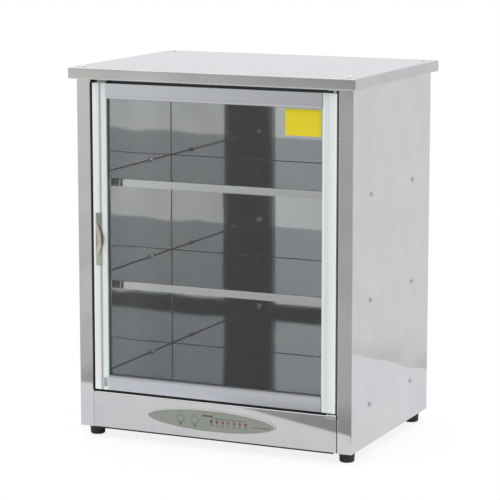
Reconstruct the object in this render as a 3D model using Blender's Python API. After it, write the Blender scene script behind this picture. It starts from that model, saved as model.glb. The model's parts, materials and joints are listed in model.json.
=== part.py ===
import math

import bmesh
import bpy
from mathutils import Matrix, Vector

# UV sterilizer cabinet: a folded stainless case on rubber feet, with three compartments behind a glazed door.
# Metres. X runs to the right, Y to the back, Z up from the table. The origin is under the middle of the case.

# General
GAP = 0.0003                    # play between two pieces that touch
SHEET = 0.0012                  # stainless sheet
BEND_INSIDE = 0.0006            # inside radius of a folded edge
BEND_STEPS = 3
ROUND_SIDES = 24                # sides of a turned piece
SMALL_SIDES = 12                # sides of a screw, a pin or a post

# Case
BODY_WIDTH = 0.540
BODY_DEPTH = 0.386
CASE_HEIGHT = 0.643             # height of the side panels
JAMB_WIDTH = 0.028              # front flange of each side panel
REAR_FLANGE = 0.015
TOP_OVERHANG_X = 0.010
TOP_OVERHANG_Y = 0.015
TOP_SKIRT = 0.021
TOP_RETURN = 0.036              # fold under the skirt, which sits on the case
FASCIA_HEIGHT = 0.067
BASE_LIP = 0.014
STOP_SIDE = 0.016               # how far the stop frame shows beside the jambs
STOP_BELOW_SWITCH = 0.0035      # how far its top bar reaches below the door switch
STOP_BOTTOM = 0.026             # how far it reaches below the chamber floor

# Chamber
FLOOR_RISE = 0.014              # chamber floor above the top of the fascia
SHELF_PITCH = 0.1895
SHELF_LIP = 0.014
SHELF_SETBACK = 0.036           # shelf edge behind the front of the case
NOTCH_BESIDE_LAMP = 0.008       # room in the shelf corner that is left out for the lamp
NOTCH_BEHIND_LAMP = 0.003

# Shelf screws
SCREW_BEHIND_NOTCH = 0.011      # front column, into the shelf behind the lamp
SCREW_FROM_BACK = 0.092         # rear column
SCREW_RADIUS = 0.002
SCREW_LENGTH = 0.006
SCREW_HEAD_RADIUS = 0.0036
SCREW_HEAD_RIM = 0.0006
SCREW_HEAD_CROWN = 0.0012
SCREW_CROWN_RADIUS = 0.0024

# Feet
FOOT_HEIGHT = 0.020
FOOT_RADIUS = 0.0145
FOOT_TAPER = 0.0012
FOOT_EDGE = 0.0015
FOOT_INSET_X = 0.020
FOOT_INSET_Y = 0.030
FOOT_STUD_RADIUS = 0.0025
FOOT_STUD = 0.008

# Door
DOOR_THICKNESS = 0.020
DOOR_GAP_SIDE = 0.0035
DOOR_GAP_TOP = 0.0065
DOOR_GAP_BOTTOM = 0.0045
DOOR_STILE = 0.0272
DOOR_RAIL = 0.0275
DOOR_EDGE = 0.0006
DOOR_CHAMFER = 0.003            # back edge that swings past the seal
STILE_FLAT = 0.0152             # flat band of a stile, outside its glazing bead
BEAD_GROOVE = 0.0008
BEAD_DROP = 0.002
RAIL_BEVEL = 0.0044
RAIL_DROP = 0.0012
GLASS_FRONT = 0.0075            # glass behind the front of the door
GLASS = 0.005
GASKET = 0.0015
GASKET_SHOW = 0.0008            # black edge that shows round the glass
POCKET_DEPTH = 0.010
SEAL_CLEARANCE = 0.0004
SEAL_THICKNESS = 0.004
SEAL_WIDTH = 0.0134

# Door pivots
PIVOT_FROM_EDGE = 0.005         # axis inside the door's right edge
PIVOT_FROM_FRONT = 0.0055
PIN_RADIUS = 0.0022
PIN_COLLAR = 0.0034
BUSH_PLAY = 0.00025
BUSH_RADIUS = 0.0034
BUSH_LENGTH = 0.012
HINGE_PLATE = 0.002
HINGE_PLATE_WIDTH = 0.019
HINGE_PLATE_CLEARANCE = 0.0014  # bracket in front of the door seal
HINGE_TAB = 0.006               # tongue folded down over the fascia

# Handle: a half-moon pull
HANDLE_LENGTH = 0.097
HANDLE_WIDTH = 0.012
HANDLE_FROM_EDGE = 0.0055
HANDLE_DROP = 0.0025            # below the middle of the door
HANDLE_FOOT = 0.020
HANDLE_SHEET = 0.0025
HANDLE_RISE = 0.009
HANDLE_FLARE = 0.0065
HANDLE_STEPS = 16
HANDLE_CURVE_STEPS = 5

# Catch and door switch
CATCH_FROM_EDGE = 0.0065
CATCH_WIDTH = 0.020
CATCH_LIFT = 0.0015             # catch above the door
STRIKE_FRONT = 0.001
STRIKE_DEPTH = 0.009
STRIKE_HEIGHT = 0.0038
SWITCH_FROM_EDGE = 0.0385       # plunger inside the door's left edge
SWITCH_DROP = 0.0025            # switch below the lip of the ceiling
SWITCH_WIDTH = 0.022
SWITCH_HEIGHT = 0.013
SWITCH_DEPTH = 0.018
PLUNGER_RADIUS = 0.002
PLUNGER_IN_SWITCH = 0.010
PLUNGER_TIP = 0.0008

# Controls
OVERLAY_LENGTH = 0.252
OVERLAY_HEIGHT = 0.037
OVERLAY = 0.001
OVERLAY_SIDES = 48
OVERLAY_X = -0.0025
BUTTON_X = (-0.0627, -0.0343)
BUTTON_RADIUS = 0.0056
BUTTON_PLAY = 0.0004
BUTTON_PROUD = 0.0006
BUTTON_FLANGE = 0.0016
BUTTON_FLANGE_THICKNESS = 0.0012
BUTTON_TRAVEL = 0.001
LIGHT_COUNT = 7
LIGHT_FIRST_X = -0.0015
LIGHT_PITCH = 0.0113
LIGHT_WIDTH = 0.004
LIGHT_HEIGHT = 0.005
LIGHT_PROUD = 0.0002
LIGHT_BAR = 0.002
LIGHT_BAR_EDGE = 0.003
BOARD_LENGTH = 0.170
BOARD_HEIGHT = 0.042
BOARD = 0.0016
BOARD_POST_RADIUS = 0.003
BOARD_POST_INSET = 0.006
SWITCH_CAP_RADIUS = 0.0035
SWITCH_CAP_HEIGHT = 0.003

# Lamp
LAMP_END = 0.0625               # lamp's ends from the floor and the ceiling
LAMP_RADIUS = 0.0128
LAMP_CAP = 0.018
LAMP_CAP_STEP = 0.0004
LAMP_PIN_RADIUS = 0.0012
LAMP_PIN_SPACING = 0.0127
LAMP_PIN = 0.007
LAMP_FROM_WALL = 0.0235
LAMP_BEHIND_EDGE = 0.019        # behind the front edge of the shelves
SOCKET_HEIGHT = 0.022
SOCKET_DEPTH = 0.026
SOCKET_OVERHANG = 0.010         # socket past the lamp's axis
REFLECTOR_SHEET = 0.0008
REFLECTOR_FLAT = 0.028
REFLECTOR_WING = 0.004
REFLECTOR_WING_RISE = 0.006
REFLECTOR_PAST_SOCKET = 0.006

# Electrical bay
BALLAST_FROM_SIDE = 0.180       # middle of the ballast from the left side
BALLAST_FROM_BACK = 0.133
BALLAST_LENGTH = 0.150
BALLAST_WIDTH = 0.042
BALLAST_HEIGHT = 0.030
BALLAST_EAR = 0.012
BALLAST_EAR_THICKNESS = 0.002
TERMINAL_BESIDE_INLET = 0.040
TERMINAL_FROM_BACK = 0.083
TERMINAL_LENGTH = 0.046
TERMINAL_WIDTH = 0.018
TERMINAL_HEIGHT = 0.016
TERMINAL_WAYS = 4
TERMINAL_SLOT = 0.006
TERMINAL_SLOT_DEPTH = 0.007
INLET_FROM_SIDE = 0.100         # middle of the inlet from the right side
INLET_LEVEL = 0.036             # above the bottom of the case
INLET_WIDTH = 0.0275
INLET_HEIGHT = 0.0205
INLET_DEPTH = 0.018
INLET_WALL = 0.0016
INLET_FLANGE = 0.004
INLET_FLANGE_THICKNESS = 0.0025

# Places worked out from the sizes above
HALF_WIDTH = BODY_WIDTH / 2
FRONT = -BODY_DEPTH / 2
BACK = BODY_DEPTH / 2
CASE_BOTTOM = FOOT_HEIGHT
CASE_TOP = CASE_BOTTOM + CASE_HEIGHT
FASCIA_TOP = CASE_BOTTOM + FASCIA_HEIGHT
WALL_X = HALF_WIDTH - SHEET - GAP
JAMB_X = HALF_WIDTH - JAMB_WIDTH
DOOR_X = JAMB_X - DOOR_GAP_SIDE
DOOR_BACK = FRONT + DOOR_THICKNESS
DOOR_BOTTOM = FASCIA_TOP + DOOR_GAP_BOTTOM
DOOR_TOP = CASE_TOP - DOOR_GAP_TOP
SEAL_FRONT = DOOR_BACK + SEAL_CLEARANCE
STOP_FRONT = SEAL_FRONT + SEAL_THICKNESS + GAP
CHAMBER_FRONT = STOP_FRONT + SHEET + GAP
BACK_PANEL_FRONT = BACK - 2 * SHEET - GAP
CHAMBER_BACK = BACK_PANEL_FRONT - GAP
FLOOR_Z = FASCIA_TOP + FLOOR_RISE
SHELF_LEVELS = {
    "chamber_floor": FLOOR_Z,
    "lower_shelf": FLOOR_Z + SHELF_PITCH,
    "upper_shelf": FLOOR_Z + 2 * SHELF_PITCH,
}
SHELF_FRONT = FRONT + SHELF_SETBACK
PIVOT_X = DOOR_X - PIVOT_FROM_EDGE
PIVOT_Y = FRONT + PIVOT_FROM_FRONT
CONTROL_Z = (CASE_BOTTOM + FASCIA_TOP) / 2
OVERLAY_FACE = FRONT - GAP - OVERLAY
FASCIA_INSIDE = FRONT + SHEET + GAP
BUTTON_BACK = FASCIA_INSIDE + BUTTON_FLANGE_THICKNESS
BOARD_FRONT = BUTTON_BACK + BUTTON_TRAVEL + GAP + SWITCH_CAP_HEIGHT
LAMP_X = HALF_WIDTH - SHEET - LAMP_FROM_WALL
LAMP_Y = SHELF_FRONT + LAMP_BEHIND_EDGE
LAMP_Z = (FLOOR_Z + CASE_TOP) / 2
LAMP_LENGTH = CASE_TOP - FLOOR_Z - 2 * LAMP_END
NOTCH_X = LAMP_X - LAMP_RADIUS - NOTCH_BESIDE_LAMP
NOTCH_BACK = LAMP_Y + REFLECTOR_FLAT / 2 + REFLECTOR_WING + NOTCH_BEHIND_LAMP
SCREW_YS = {"front": NOTCH_BACK + SCREW_BEHIND_NOTCH, "rear": BACK - SCREW_FROM_BACK}
SWITCH_X = SWITCH_FROM_EDGE - DOOR_X
SWITCH_Z = CASE_TOP - SHELF_LIP - SWITCH_DROP - SWITCH_HEIGHT / 2
BALLAST_X = BALLAST_FROM_SIDE - HALF_WIDTH
BALLAST_Y = BACK - BALLAST_FROM_BACK
INLET_X = HALF_WIDTH - INLET_FROM_SIDE
TERMINAL_X = INLET_X - TERMINAL_BESIDE_INLET
TERMINAL_Y = BACK - TERMINAL_FROM_BACK
BEND_RADIUS = SHEET + BEND_INSIDE
GASKET_INSET_X = DOOR_STILE - POCKET_DEPTH + GAP
GASKET_INSET_Z = DOOR_RAIL - POCKET_DEPTH + GAP
POCKET_FRONT = GLASS_FRONT - GASKET - 2 * GAP
POCKET_BACK = GLASS_FRONT + GLASS + GASKET + 2 * GAP

# Finishes: sRGB colour, roughness, metallic
FINISHES = {
    "polished_stainless": ("#c8c8c6", 0.16, 1.0),
    "anodised_aluminium": ("#d9dcda", 0.32, 1.0),
    "clear_glass": ("#dfe8e5", 0.02, 0.0),
    "black_rubber": ("#161617", 0.70, 0.0),
    "satin_nickel": ("#b9b4a8", 0.30, 1.0),
    "zinc_plated_steel": ("#b3b5b7", 0.35, 1.0),
    "white_nylon": ("#e6e4de", 0.50, 0.0),
    "black_plastic": ("#1d1e20", 0.45, 0.0),
    "grey_overlay_film": ("#969b92", 0.45, 0.0),
    "pale_button_plastic": ("#c9cbc2", 0.45, 0.0),
    "red_lens_acrylic": ("#a8505c", 0.25, 0.0),
    "green_board_laminate": ("#2c6545", 0.45, 0.0),
    "lamp_glass": ("#eef1f2", 0.06, 0.0),
    "bright_reflector": ("#d6d8d9", 0.12, 1.0),
}


def linear(colour):
    channels = [int(colour[i:i + 2], 16) / 255 for i in (1, 3, 5)]
    return [c / 12.92 if c <= 0.04045 else ((c + 0.055) / 1.055) ** 2.4 for c in channels] + [1.0]


def set_finish(obj, kind):
    colour, roughness, metallic = FINISHES[kind]
    material = bpy.data.materials.new(f"{obj.name}_{kind}")
    material.use_nodes = True
    shader = material.node_tree.nodes["Principled BSDF"]
    shader.inputs["Base Color"].default_value = linear(colour)
    shader.inputs["Roughness"].default_value = roughness
    shader.inputs["Metallic"].default_value = metallic
    obj.data.materials.append(material)


def add_object(name, bm, kind, location=(0, 0, 0)):
    mesh = bpy.data.meshes.new(name)
    bm.to_mesh(mesh)
    bm.free()
    obj = bpy.data.objects.new(name, mesh)
    obj.location = location
    bpy.context.scene.collection.objects.link(obj)
    set_finish(obj, kind)
    return obj


def add_tool(name, bm):
    """A hidden shape that cuts or joins other pieces."""
    mesh = bpy.data.meshes.new(name)
    bm.to_mesh(mesh)
    bm.free()
    obj = bpy.data.objects.new(name, mesh)
    obj.hide_render = True
    obj.display_type = "WIRE"
    bpy.context.scene.collection.objects.link(obj)
    return obj


def combine(obj, tool, operation):
    step = obj.modifiers.new(tool.name, "BOOLEAN")
    step.operation = operation
    step.object = tool
    step.solver = "EXACT"


def smooth(obj):
    obj.data.shade_smooth()
    obj.data.set_sharp_from_angle(angle=math.radians(35))


def axis_empty(name, location):
    """The axis that moving pieces hang on."""
    empty = bpy.data.objects.new(name, None)
    empty.location = location
    bpy.context.scene.collection.objects.link(empty)
    return empty


def hang(obj, empty):
    obj.parent = empty
    obj.matrix_parent_inverse = Matrix.Translation(empty.location).inverted()


def add_box(bm, low, high):
    centre = [(a + b) / 2 for a, b in zip(low, high)]
    size = [b - a for a, b in zip(low, high)]
    bmesh.ops.create_cube(bm, size=1, matrix=Matrix.Translation(centre) @ Matrix.Diagonal((*size, 1)))


def box(name, low, high, kind, edge=0.0):
    bm = bmesh.new()
    add_box(bm, low, high)
    if edge:
        bmesh.ops.bevel(bm, geom=bm.edges[:], offset=edge, segments=1, affect="EDGES")
    return add_object(name, bm, kind)


def add_rod(bm, centre, direction, radius, length, sides=ROUND_SIDES):
    """A round bar with its middle at centre."""
    turn = Vector((0, 0, 1)).rotation_difference(Vector(direction)).to_matrix().to_4x4()
    place = Matrix.Translation(centre) @ turn
    size = {"radius1": radius, "radius2": radius, "depth": length}
    bmesh.ops.create_cone(bm, cap_ends=True, segments=sides, matrix=place, **size)


def in_space(axis, u, v, run):
    """A point of a section that runs along axis."""
    return {"X": (run, u, v), "Y": (v, run, u), "Z": (u, v, run)}[axis]


def rounded(path):
    """The path with each inner corner turned into an arc."""
    path = [Vector(point) for point in path]
    points = [path[0]]
    for before, corner, after in zip(path, path[1:], path[2:]):
        back = (before - corner).normalized()
        ahead = (after - corner).normalized()
        half = back.angle(ahead) / 2
        centre = corner + (back + ahead).normalized() * (BEND_RADIUS / math.sin(half))
        reach = BEND_RADIUS / math.tan(half)
        first = corner + back * reach - centre
        last = corner + ahead * reach - centre
        for step in range(BEND_STEPS + 1):
            spoke = first.lerp(last, step / BEND_STEPS).normalized()
            points.append(centre + spoke * BEND_RADIUS)
    points.append(path[-1])
    return points


def thicken(obj, side, thickness=SHEET):
    wall = obj.modifiers.new("sheet", "SOLIDIFY")
    wall.thickness = thickness
    wall.offset = side
    wall.use_even_offset = True
    wall.use_quality_normals = True


def fold(name, path, axis, start, end, kind, thickness=SHEET):
    """A folded sheet: the path is one skin, and the thickness lies to its right."""
    bm = bmesh.new()
    corners = rounded(path)
    near = [bm.verts.new(in_space(axis, u, v, start)) for u, v in corners]
    far = [bm.verts.new(in_space(axis, u, v, end)) for u, v in corners]
    for i in range(len(corners) - 1):
        bm.faces.new((near[i], near[i + 1], far[i + 1], far[i]))
    obj = add_object(name, bm, kind)
    thicken(obj, 1, thickness)
    return obj


def tray(name, outline, level, lip, kind):
    """A flat sheet with its edges folded down, or up for a positive lip; the outline runs anticlockwise."""
    bm = bmesh.new()
    rim = [bm.verts.new((x, y, level)) for x, y in outline]
    edge = [bm.verts.new((x, y, level + lip)) for x, y in outline]
    bm.faces.new(rim)
    for i in range(len(outline)):
        j = (i + 1) % len(outline)
        bm.faces.new((rim[i], edge[i], edge[j], rim[j]))
    if lip > 0:
        bmesh.ops.reverse_faces(bm, faces=bm.faces[:])
    obj = add_object(name, bm, kind)
    bend = obj.modifiers.new("bends", "BEVEL")
    bend.width = BEND_RADIUS
    bend.segments = 2
    thicken(obj, -1)
    return obj


def push(bm, faces, vector):
    """Extrude faces into a closed solid."""
    grown = bmesh.ops.extrude_face_region(bm, geom=faces)["geom"]
    moved = [item for item in grown if isinstance(item, bmesh.types.BMVert)]
    bmesh.ops.translate(bm, verts=moved, vec=vector)
    bmesh.ops.recalc_face_normals(bm, faces=bm.faces[:])


def prism(name, section, axis, start, end, kind):
    """A closed section run along an axis."""
    bm = bmesh.new()
    face = bm.faces.new([bm.verts.new(in_space(axis, u, v, start)) for u, v in section])
    push(bm, [face], in_space(axis, 0, 0, end - start))
    return add_object(name, bm, kind)


def corners_of(rectangle):
    x0, z0, x1, z1 = rectangle
    return [(x0, z0), (x1, z0), (x1, z1), (x0, z1)]


def inset(rectangle, by):
    x0, z0, x1, z1 = rectangle
    return (x0 + by, z0 + by, x1 - by, z1 - by)


def frame_plate(name, outer, inner, front, back, kind):
    """A flat frame between two upright rectangles."""
    bm = bmesh.new()
    outside = [bm.verts.new((x, front, z)) for x, z in corners_of(outer)]
    inside = [bm.verts.new((x, front, z)) for x, z in corners_of(inner)]
    faces = []
    for i in range(4):
        j = (i + 1) % 4
        faces.append(bm.faces.new((outside[i], outside[j], inside[j], inside[i])))
    push(bm, faces, (0, back - front, 0))
    return add_object(name, bm, kind)


def frame_strip(name, outer, section, kind):
    """A strip of any closed section, given as inset and Y, run round an upright rectangle."""
    bm = bmesh.new()
    loops = []
    for by, y in section:
        loops.append([bm.verts.new((x, y, z)) for x, z in corners_of(inset(outer, by))])
    for i in range(len(loops)):
        this, other = loops[i], loops[(i + 1) % len(loops)]
        for j in range(4):
            k = (j + 1) % 4
            bm.faces.new((this[j], this[k], other[k], other[j]))
    bmesh.ops.recalc_face_normals(bm, faces=bm.faces[:])
    return add_object(name, bm, kind)


def turned(name, profile, kind, location, rotation=(0, 0, 0), ring=False, sides=ROUND_SIDES):
    """A profile of radius and height turned round its own Z axis."""
    bm = bmesh.new()
    points = [bm.verts.new((radius, 0, height)) for radius, height in profile]
    lines = [bm.edges.new(pair) for pair in zip(points, points[1:])]
    if ring:
        lines.append(bm.edges.new((points[-1], points[0])))
    bmesh.ops.spin(bm, geom=points + lines, axis=(0, 0, 1), cent=(0, 0, 0), angle=math.tau, steps=sides)
    bmesh.ops.remove_doubles(bm, verts=bm.verts[:], dist=1e-6)
    bmesh.ops.recalc_face_normals(bm, faces=bm.faces[:])
    obj = add_object(name, bm, kind, location)
    obj.rotation_euler = rotation
    smooth(obj)
    return obj


# Case

def side_panel(name, side, holes):
    path = [
        (HALF_WIDTH - REAR_FLANGE, BACK),
        (HALF_WIDTH, BACK),
        (HALF_WIDTH, FRONT),
        (JAMB_X, FRONT),
        (JAMB_X, STOP_FRONT - GAP),
    ]
    if side < 0:
        path = [(-x, y) for x, y in reversed(path)]
    panel = fold(name, path, "Z", CASE_BOTTOM, CASE_TOP, "polished_stainless")
    combine(panel, holes, "DIFFERENCE")


def top_panel():
    bm = bmesh.new()
    low = (-HALF_WIDTH - TOP_OVERHANG_X, FRONT - TOP_OVERHANG_Y, CASE_TOP + GAP)
    high = (HALF_WIDTH + TOP_OVERHANG_X, BACK + TOP_OVERHANG_Y, CASE_TOP + GAP + TOP_SKIRT)
    add_box(bm, low, high)
    under = min(bm.faces, key=lambda face: face.calc_center_median().z)
    bmesh.ops.inset_region(bm, faces=[under], thickness=TOP_RETURN, use_even_offset=True)
    bmesh.ops.delete(bm, geom=[under], context="FACES")
    pan = add_object("top_panel", bm, "polished_stainless")
    bend = pan.modifiers.new("bends", "BEVEL")
    bend.width = BEND_RADIUS
    bend.segments = 2
    thicken(pan, -1)


def rectangle_outline(x, front, back):
    return [(-x, front), (x, front), (x, back), (-x, back)]


def back_panel():
    low = (-WALL_X, BACK_PANEL_FRONT, CASE_BOTTOM)
    high = (WALL_X, BACK_PANEL_FRONT + SHEET, CASE_TOP)
    panel = box("back_panel", low, high, "polished_stainless")
    bm = bmesh.new()
    reach = (INLET_WIDTH / 2 + GAP, INLET_HEIGHT / 2 + GAP)
    z = CASE_BOTTOM + INLET_LEVEL
    add_box(bm, (INLET_X - reach[0], BACK_PANEL_FRONT - SHEET, z - reach[1]),
            (INLET_X + reach[0], BACK, z + reach[1]))
    combine(panel, add_tool("inlet_cut_out", bm), "DIFFERENCE")


def foot_places():
    places = {}
    for name, x in (("left", -1), ("right", 1)):
        places[f"front_{name}_foot"] = (x * (HALF_WIDTH - FOOT_INSET_X), FRONT + FOOT_INSET_Y)
        places[f"rear_{name}_foot"] = (x * (HALF_WIDTH - FOOT_INSET_X), BACK - FOOT_INSET_Y)
    return places


def base_plate():
    front = STOP_FRONT
    plate = tray("base_plate", rectangle_outline(WALL_X, front, CHAMBER_BACK), CASE_BOTTOM, BASE_LIP,
                 "polished_stainless")
    bm = bmesh.new()
    for x, y in foot_places().values():
        add_rod(bm, (x, y, CASE_BOTTOM), (0, 0, 1), FOOT_STUD_RADIUS + GAP, BASE_LIP, SMALL_SIDES)
    combine(plate, add_tool("foot_stud_holes", bm), "DIFFERENCE")


def feet():
    top = FOOT_HEIGHT - GAP
    profile = [
        (0, 0),
        (FOOT_RADIUS - FOOT_TAPER - FOOT_EDGE, 0),
        (FOOT_RADIUS - FOOT_TAPER, FOOT_EDGE),
        (FOOT_RADIUS, top - FOOT_EDGE),
        (FOOT_RADIUS - FOOT_EDGE, top),
        (FOOT_STUD_RADIUS, top),
        (FOOT_STUD_RADIUS, top + FOOT_STUD),
        (0, top + FOOT_STUD),
    ]
    for name, (x, y) in foot_places().items():
        turned(name, profile, "black_rubber", (x, y, 0))


def stop_frame():
    outer = (-WALL_X, FLOOR_Z - STOP_BOTTOM, WALL_X, CASE_TOP)
    lintel = SWITCH_Z - SWITCH_HEIGHT / 2 - STOP_BELOW_SWITCH
    inner = (-JAMB_X + STOP_SIDE, FLOOR_Z, JAMB_X - STOP_SIDE, lintel)
    plate = frame_plate("stop_frame", outer, inner, STOP_FRONT, STOP_FRONT + SHEET, "polished_stainless")
    bm = bmesh.new()
    add_rod(bm, (SWITCH_X, STOP_FRONT, SWITCH_Z), (0, 1, 0), PLUNGER_RADIUS + GAP, 4 * SHEET)
    combine(plate, add_tool("plunger_hole", bm), "DIFFERENCE")


def front_fascia():
    path = [
        (STOP_FRONT - GAP, CASE_BOTTOM),
        (FRONT, CASE_BOTTOM),
        (FRONT, FASCIA_TOP),
        (STOP_FRONT - GAP, FASCIA_TOP),
    ]
    reach = JAMB_X - 2 * GAP
    fascia = fold("front_fascia", path, "X", -reach, reach, "polished_stainless")
    bm = bmesh.new()
    cut = 4 * SHEET
    for x in BUTTON_X:
        add_rod(bm, (x, FRONT, CONTROL_Z), (0, 1, 0), BUTTON_RADIUS + BUTTON_PLAY, cut)
    low, high = light_window(0)[0], light_window(LIGHT_COUNT - 1)[1]
    add_box(bm, (low[0], FRONT - cut / 2, low[1]), (high[0], FRONT + cut / 2, high[1]))
    combine(fascia, add_tool("fascia_cut_outs", bm), "DIFFERENCE")


# Chamber

def shelf_outline():
    return [
        (-WALL_X, SHELF_FRONT),
        (NOTCH_X, SHELF_FRONT),
        (NOTCH_X, NOTCH_BACK),
        (WALL_X, NOTCH_BACK),
        (WALL_X, CHAMBER_BACK),
        (-WALL_X, CHAMBER_BACK),
    ]


def screw_places():
    places = {}
    for shelf, level in SHELF_LEVELS.items():
        for column, y in SCREW_YS.items():
            for side, x in (("left", -1), ("right", 1)):
                places[f"{side}_{column}_{shelf}_screw"] = (x, y, level - SHELF_LIP / 2)
    return places


def screw_holes():
    bm = bmesh.new()
    for side, y, z in screw_places().values():
        add_rod(bm, (side * HALF_WIDTH, y, z), (1, 0, 0), SCREW_RADIUS + GAP, 2 * SCREW_LENGTH, SMALL_SIDES)
    return add_tool("shelf_screw_holes", bm)


def shelf_screws():
    seat = GAP
    profile = [
        (0, -SCREW_LENGTH),
        (SCREW_RADIUS, -SCREW_LENGTH),
        (SCREW_RADIUS, seat),
        (SCREW_HEAD_RADIUS, seat),
        (SCREW_HEAD_RADIUS, seat + SCREW_HEAD_RIM),
        (SCREW_CROWN_RADIUS, seat + SCREW_HEAD_RIM + SCREW_HEAD_CROWN),
        (0, seat + SCREW_HEAD_RIM + SCREW_HEAD_CROWN),
    ]
    for name, (side, y, z) in screw_places().items():
        place = (side * HALF_WIDTH, y, z)
        turned(name, profile, "zinc_plated_steel", place, (0, side * math.pi / 2, 0), sides=SMALL_SIDES)


def chamber(holes):
    whole = rectangle_outline(WALL_X, CHAMBER_FRONT, CHAMBER_BACK)
    for name, level in SHELF_LEVELS.items():
        outline = whole if name == "chamber_floor" else shelf_outline()
        shelf = tray(name, outline, level, -SHELF_LIP, "polished_stainless")
        combine(shelf, holes, "DIFFERENCE")
    tray("ceiling_panel", whole, CASE_TOP, -SHELF_LIP, "polished_stainless")


def lamp():
    half = LAMP_LENGTH / 2
    glass = LAMP_RADIUS - LAMP_CAP_STEP
    profile = [
        (0, -half),
        (LAMP_RADIUS, -half),
        (LAMP_RADIUS, LAMP_CAP - half),
        (glass, LAMP_CAP - half),
        (glass, half - LAMP_CAP),
        (LAMP_RADIUS, half - LAMP_CAP),
        (LAMP_RADIUS, half),
        (0, half),
    ]
    tube = turned("uv_lamp", profile, "lamp_glass", (LAMP_X, LAMP_Y, LAMP_Z))
    combine(tube, add_tool("lamp_pins", lamp_pins(LAMP_PIN_RADIUS, LAMP_PIN)), "UNION")


def lamp_pins(radius, length):
    """Bars through the ends of the lamp, standing out by length."""
    bm = bmesh.new()
    for end in (-1, 1):
        for side in (-1, 1):
            y = LAMP_Y + side * LAMP_PIN_SPACING / 2
            place = (LAMP_X, y, LAMP_Z + end * LAMP_LENGTH / 2)
            add_rod(bm, place, (0, 0, 1), radius, 2 * length, SMALL_SIDES)
    return bm


def lamp_fittings():
    wall = WALL_X
    flat = REFLECTOR_FLAT / 2
    path = [
        (wall - REFLECTOR_WING_RISE, LAMP_Y + flat + REFLECTOR_WING),
        (wall, LAMP_Y + flat),
        (wall, LAMP_Y - flat),
        (wall - REFLECTOR_WING_RISE, LAMP_Y - flat - REFLECTOR_WING),
    ]
    reach = LAMP_LENGTH / 2 + GAP + SOCKET_HEIGHT + REFLECTOR_PAST_SOCKET
    fold("lamp_reflector", path, "Z", LAMP_Z - reach, LAMP_Z + reach, "bright_reflector", REFLECTOR_SHEET)
    holes = add_tool("socket_pin_holes", lamp_pins(LAMP_PIN_RADIUS + GAP, LAMP_PIN + GAP))
    back = wall - REFLECTOR_SHEET - GAP
    for name, end in (("lower_lamp_socket", -1), ("upper_lamp_socket", 1)):
        near = LAMP_Z + end * (LAMP_LENGTH / 2 + GAP)
        levels = sorted((near, near + end * SOCKET_HEIGHT))
        low = (LAMP_X - SOCKET_OVERHANG, LAMP_Y - SOCKET_DEPTH / 2, levels[0])
        high = (back, LAMP_Y + SOCKET_DEPTH / 2, levels[1])
        combine(box(name, low, high, "white_nylon", GAP), holes, "DIFFERENCE")


# Door

def frame_section(width, face, back):
    """Section of a stile or rail, given as distance from its outer edge and depth from its front."""
    return [
        (DOOR_EDGE, 0),
        *face,
        (width, POCKET_FRONT),
        (width - POCKET_DEPTH, POCKET_FRONT),
        (width - POCKET_DEPTH, POCKET_BACK),
        (width, POCKET_BACK),
        (width, DOOR_THICKNESS),
        *back,
        (0, DOOR_EDGE),
    ]


def door_frame(hinge):
    face = [
        (STILE_FLAT, 0),
        (STILE_FLAT + BEAD_GROOVE / 2, BEAD_GROOVE),
        (STILE_FLAT + BEAD_GROOVE, 0),
        (DOOR_STILE, BEAD_DROP),
    ]
    back = [(DOOR_CHAMFER, DOOR_THICKNESS), (0, DOOR_THICKNESS - DOOR_CHAMFER)]
    section = frame_section(DOOR_STILE, face, back)
    stile = ("Z", DOOR_BOTTOM, DOOR_TOP, "anodised_aluminium")
    left = prism("door_left_stile", [(u - DOOR_X, FRONT + v) for u, v in section], *stile)
    right = prism("door_right_stile", [(DOOR_X - u, FRONT + v) for u, v in section], *stile)
    combine(right, bush_holes(), "DIFFERENCE")
    face = [(DOOR_RAIL - RAIL_BEVEL, 0), (DOOR_RAIL, RAIL_DROP)]
    section = frame_section(DOOR_RAIL, face, [(0, DOOR_THICKNESS)])
    reach = DOOR_X - DOOR_STILE - GAP
    rail = ("X", -reach, reach, "anodised_aluminium")
    bottom = prism("door_bottom_rail", [(FRONT + v, DOOR_BOTTOM + u) for u, v in section], *rail)
    top = prism("door_top_rail", [(FRONT + v, DOOR_TOP - u) for u, v in section], *rail)
    for piece in (left, right, bottom, top):
        hang(piece, hinge)


def glazing(hinge):
    reach = DOOR_X - GASKET_INSET_X
    around = (-reach, DOOR_BOTTOM + GASKET_INSET_Z, reach, DOOR_TOP - GASKET_INSET_Z)
    leg = POCKET_DEPTH - GAP + GASKET_SHOW
    outer = (FRONT + POCKET_FRONT + GAP, FRONT + POCKET_BACK - GAP)
    inner = (outer[0] + GASKET, outer[1] - GASKET)
    section = [
        (0, outer[0]),
        (leg, outer[0]),
        (leg, inner[0]),
        (GASKET, inner[0]),
        (GASKET, inner[1]),
        (leg, inner[1]),
        (leg, outer[1]),
        (0, outer[1]),
    ]
    hang(frame_strip("glazing_gasket", around, section, "black_rubber"), hinge)
    x0, z0, x1, z1 = inset(around, GASKET + GAP)
    front = FRONT + GLASS_FRONT
    hang(box("door_glass", (x0, front, z0), (x1, front + GLASS, z1), "clear_glass"), hinge)


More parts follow.
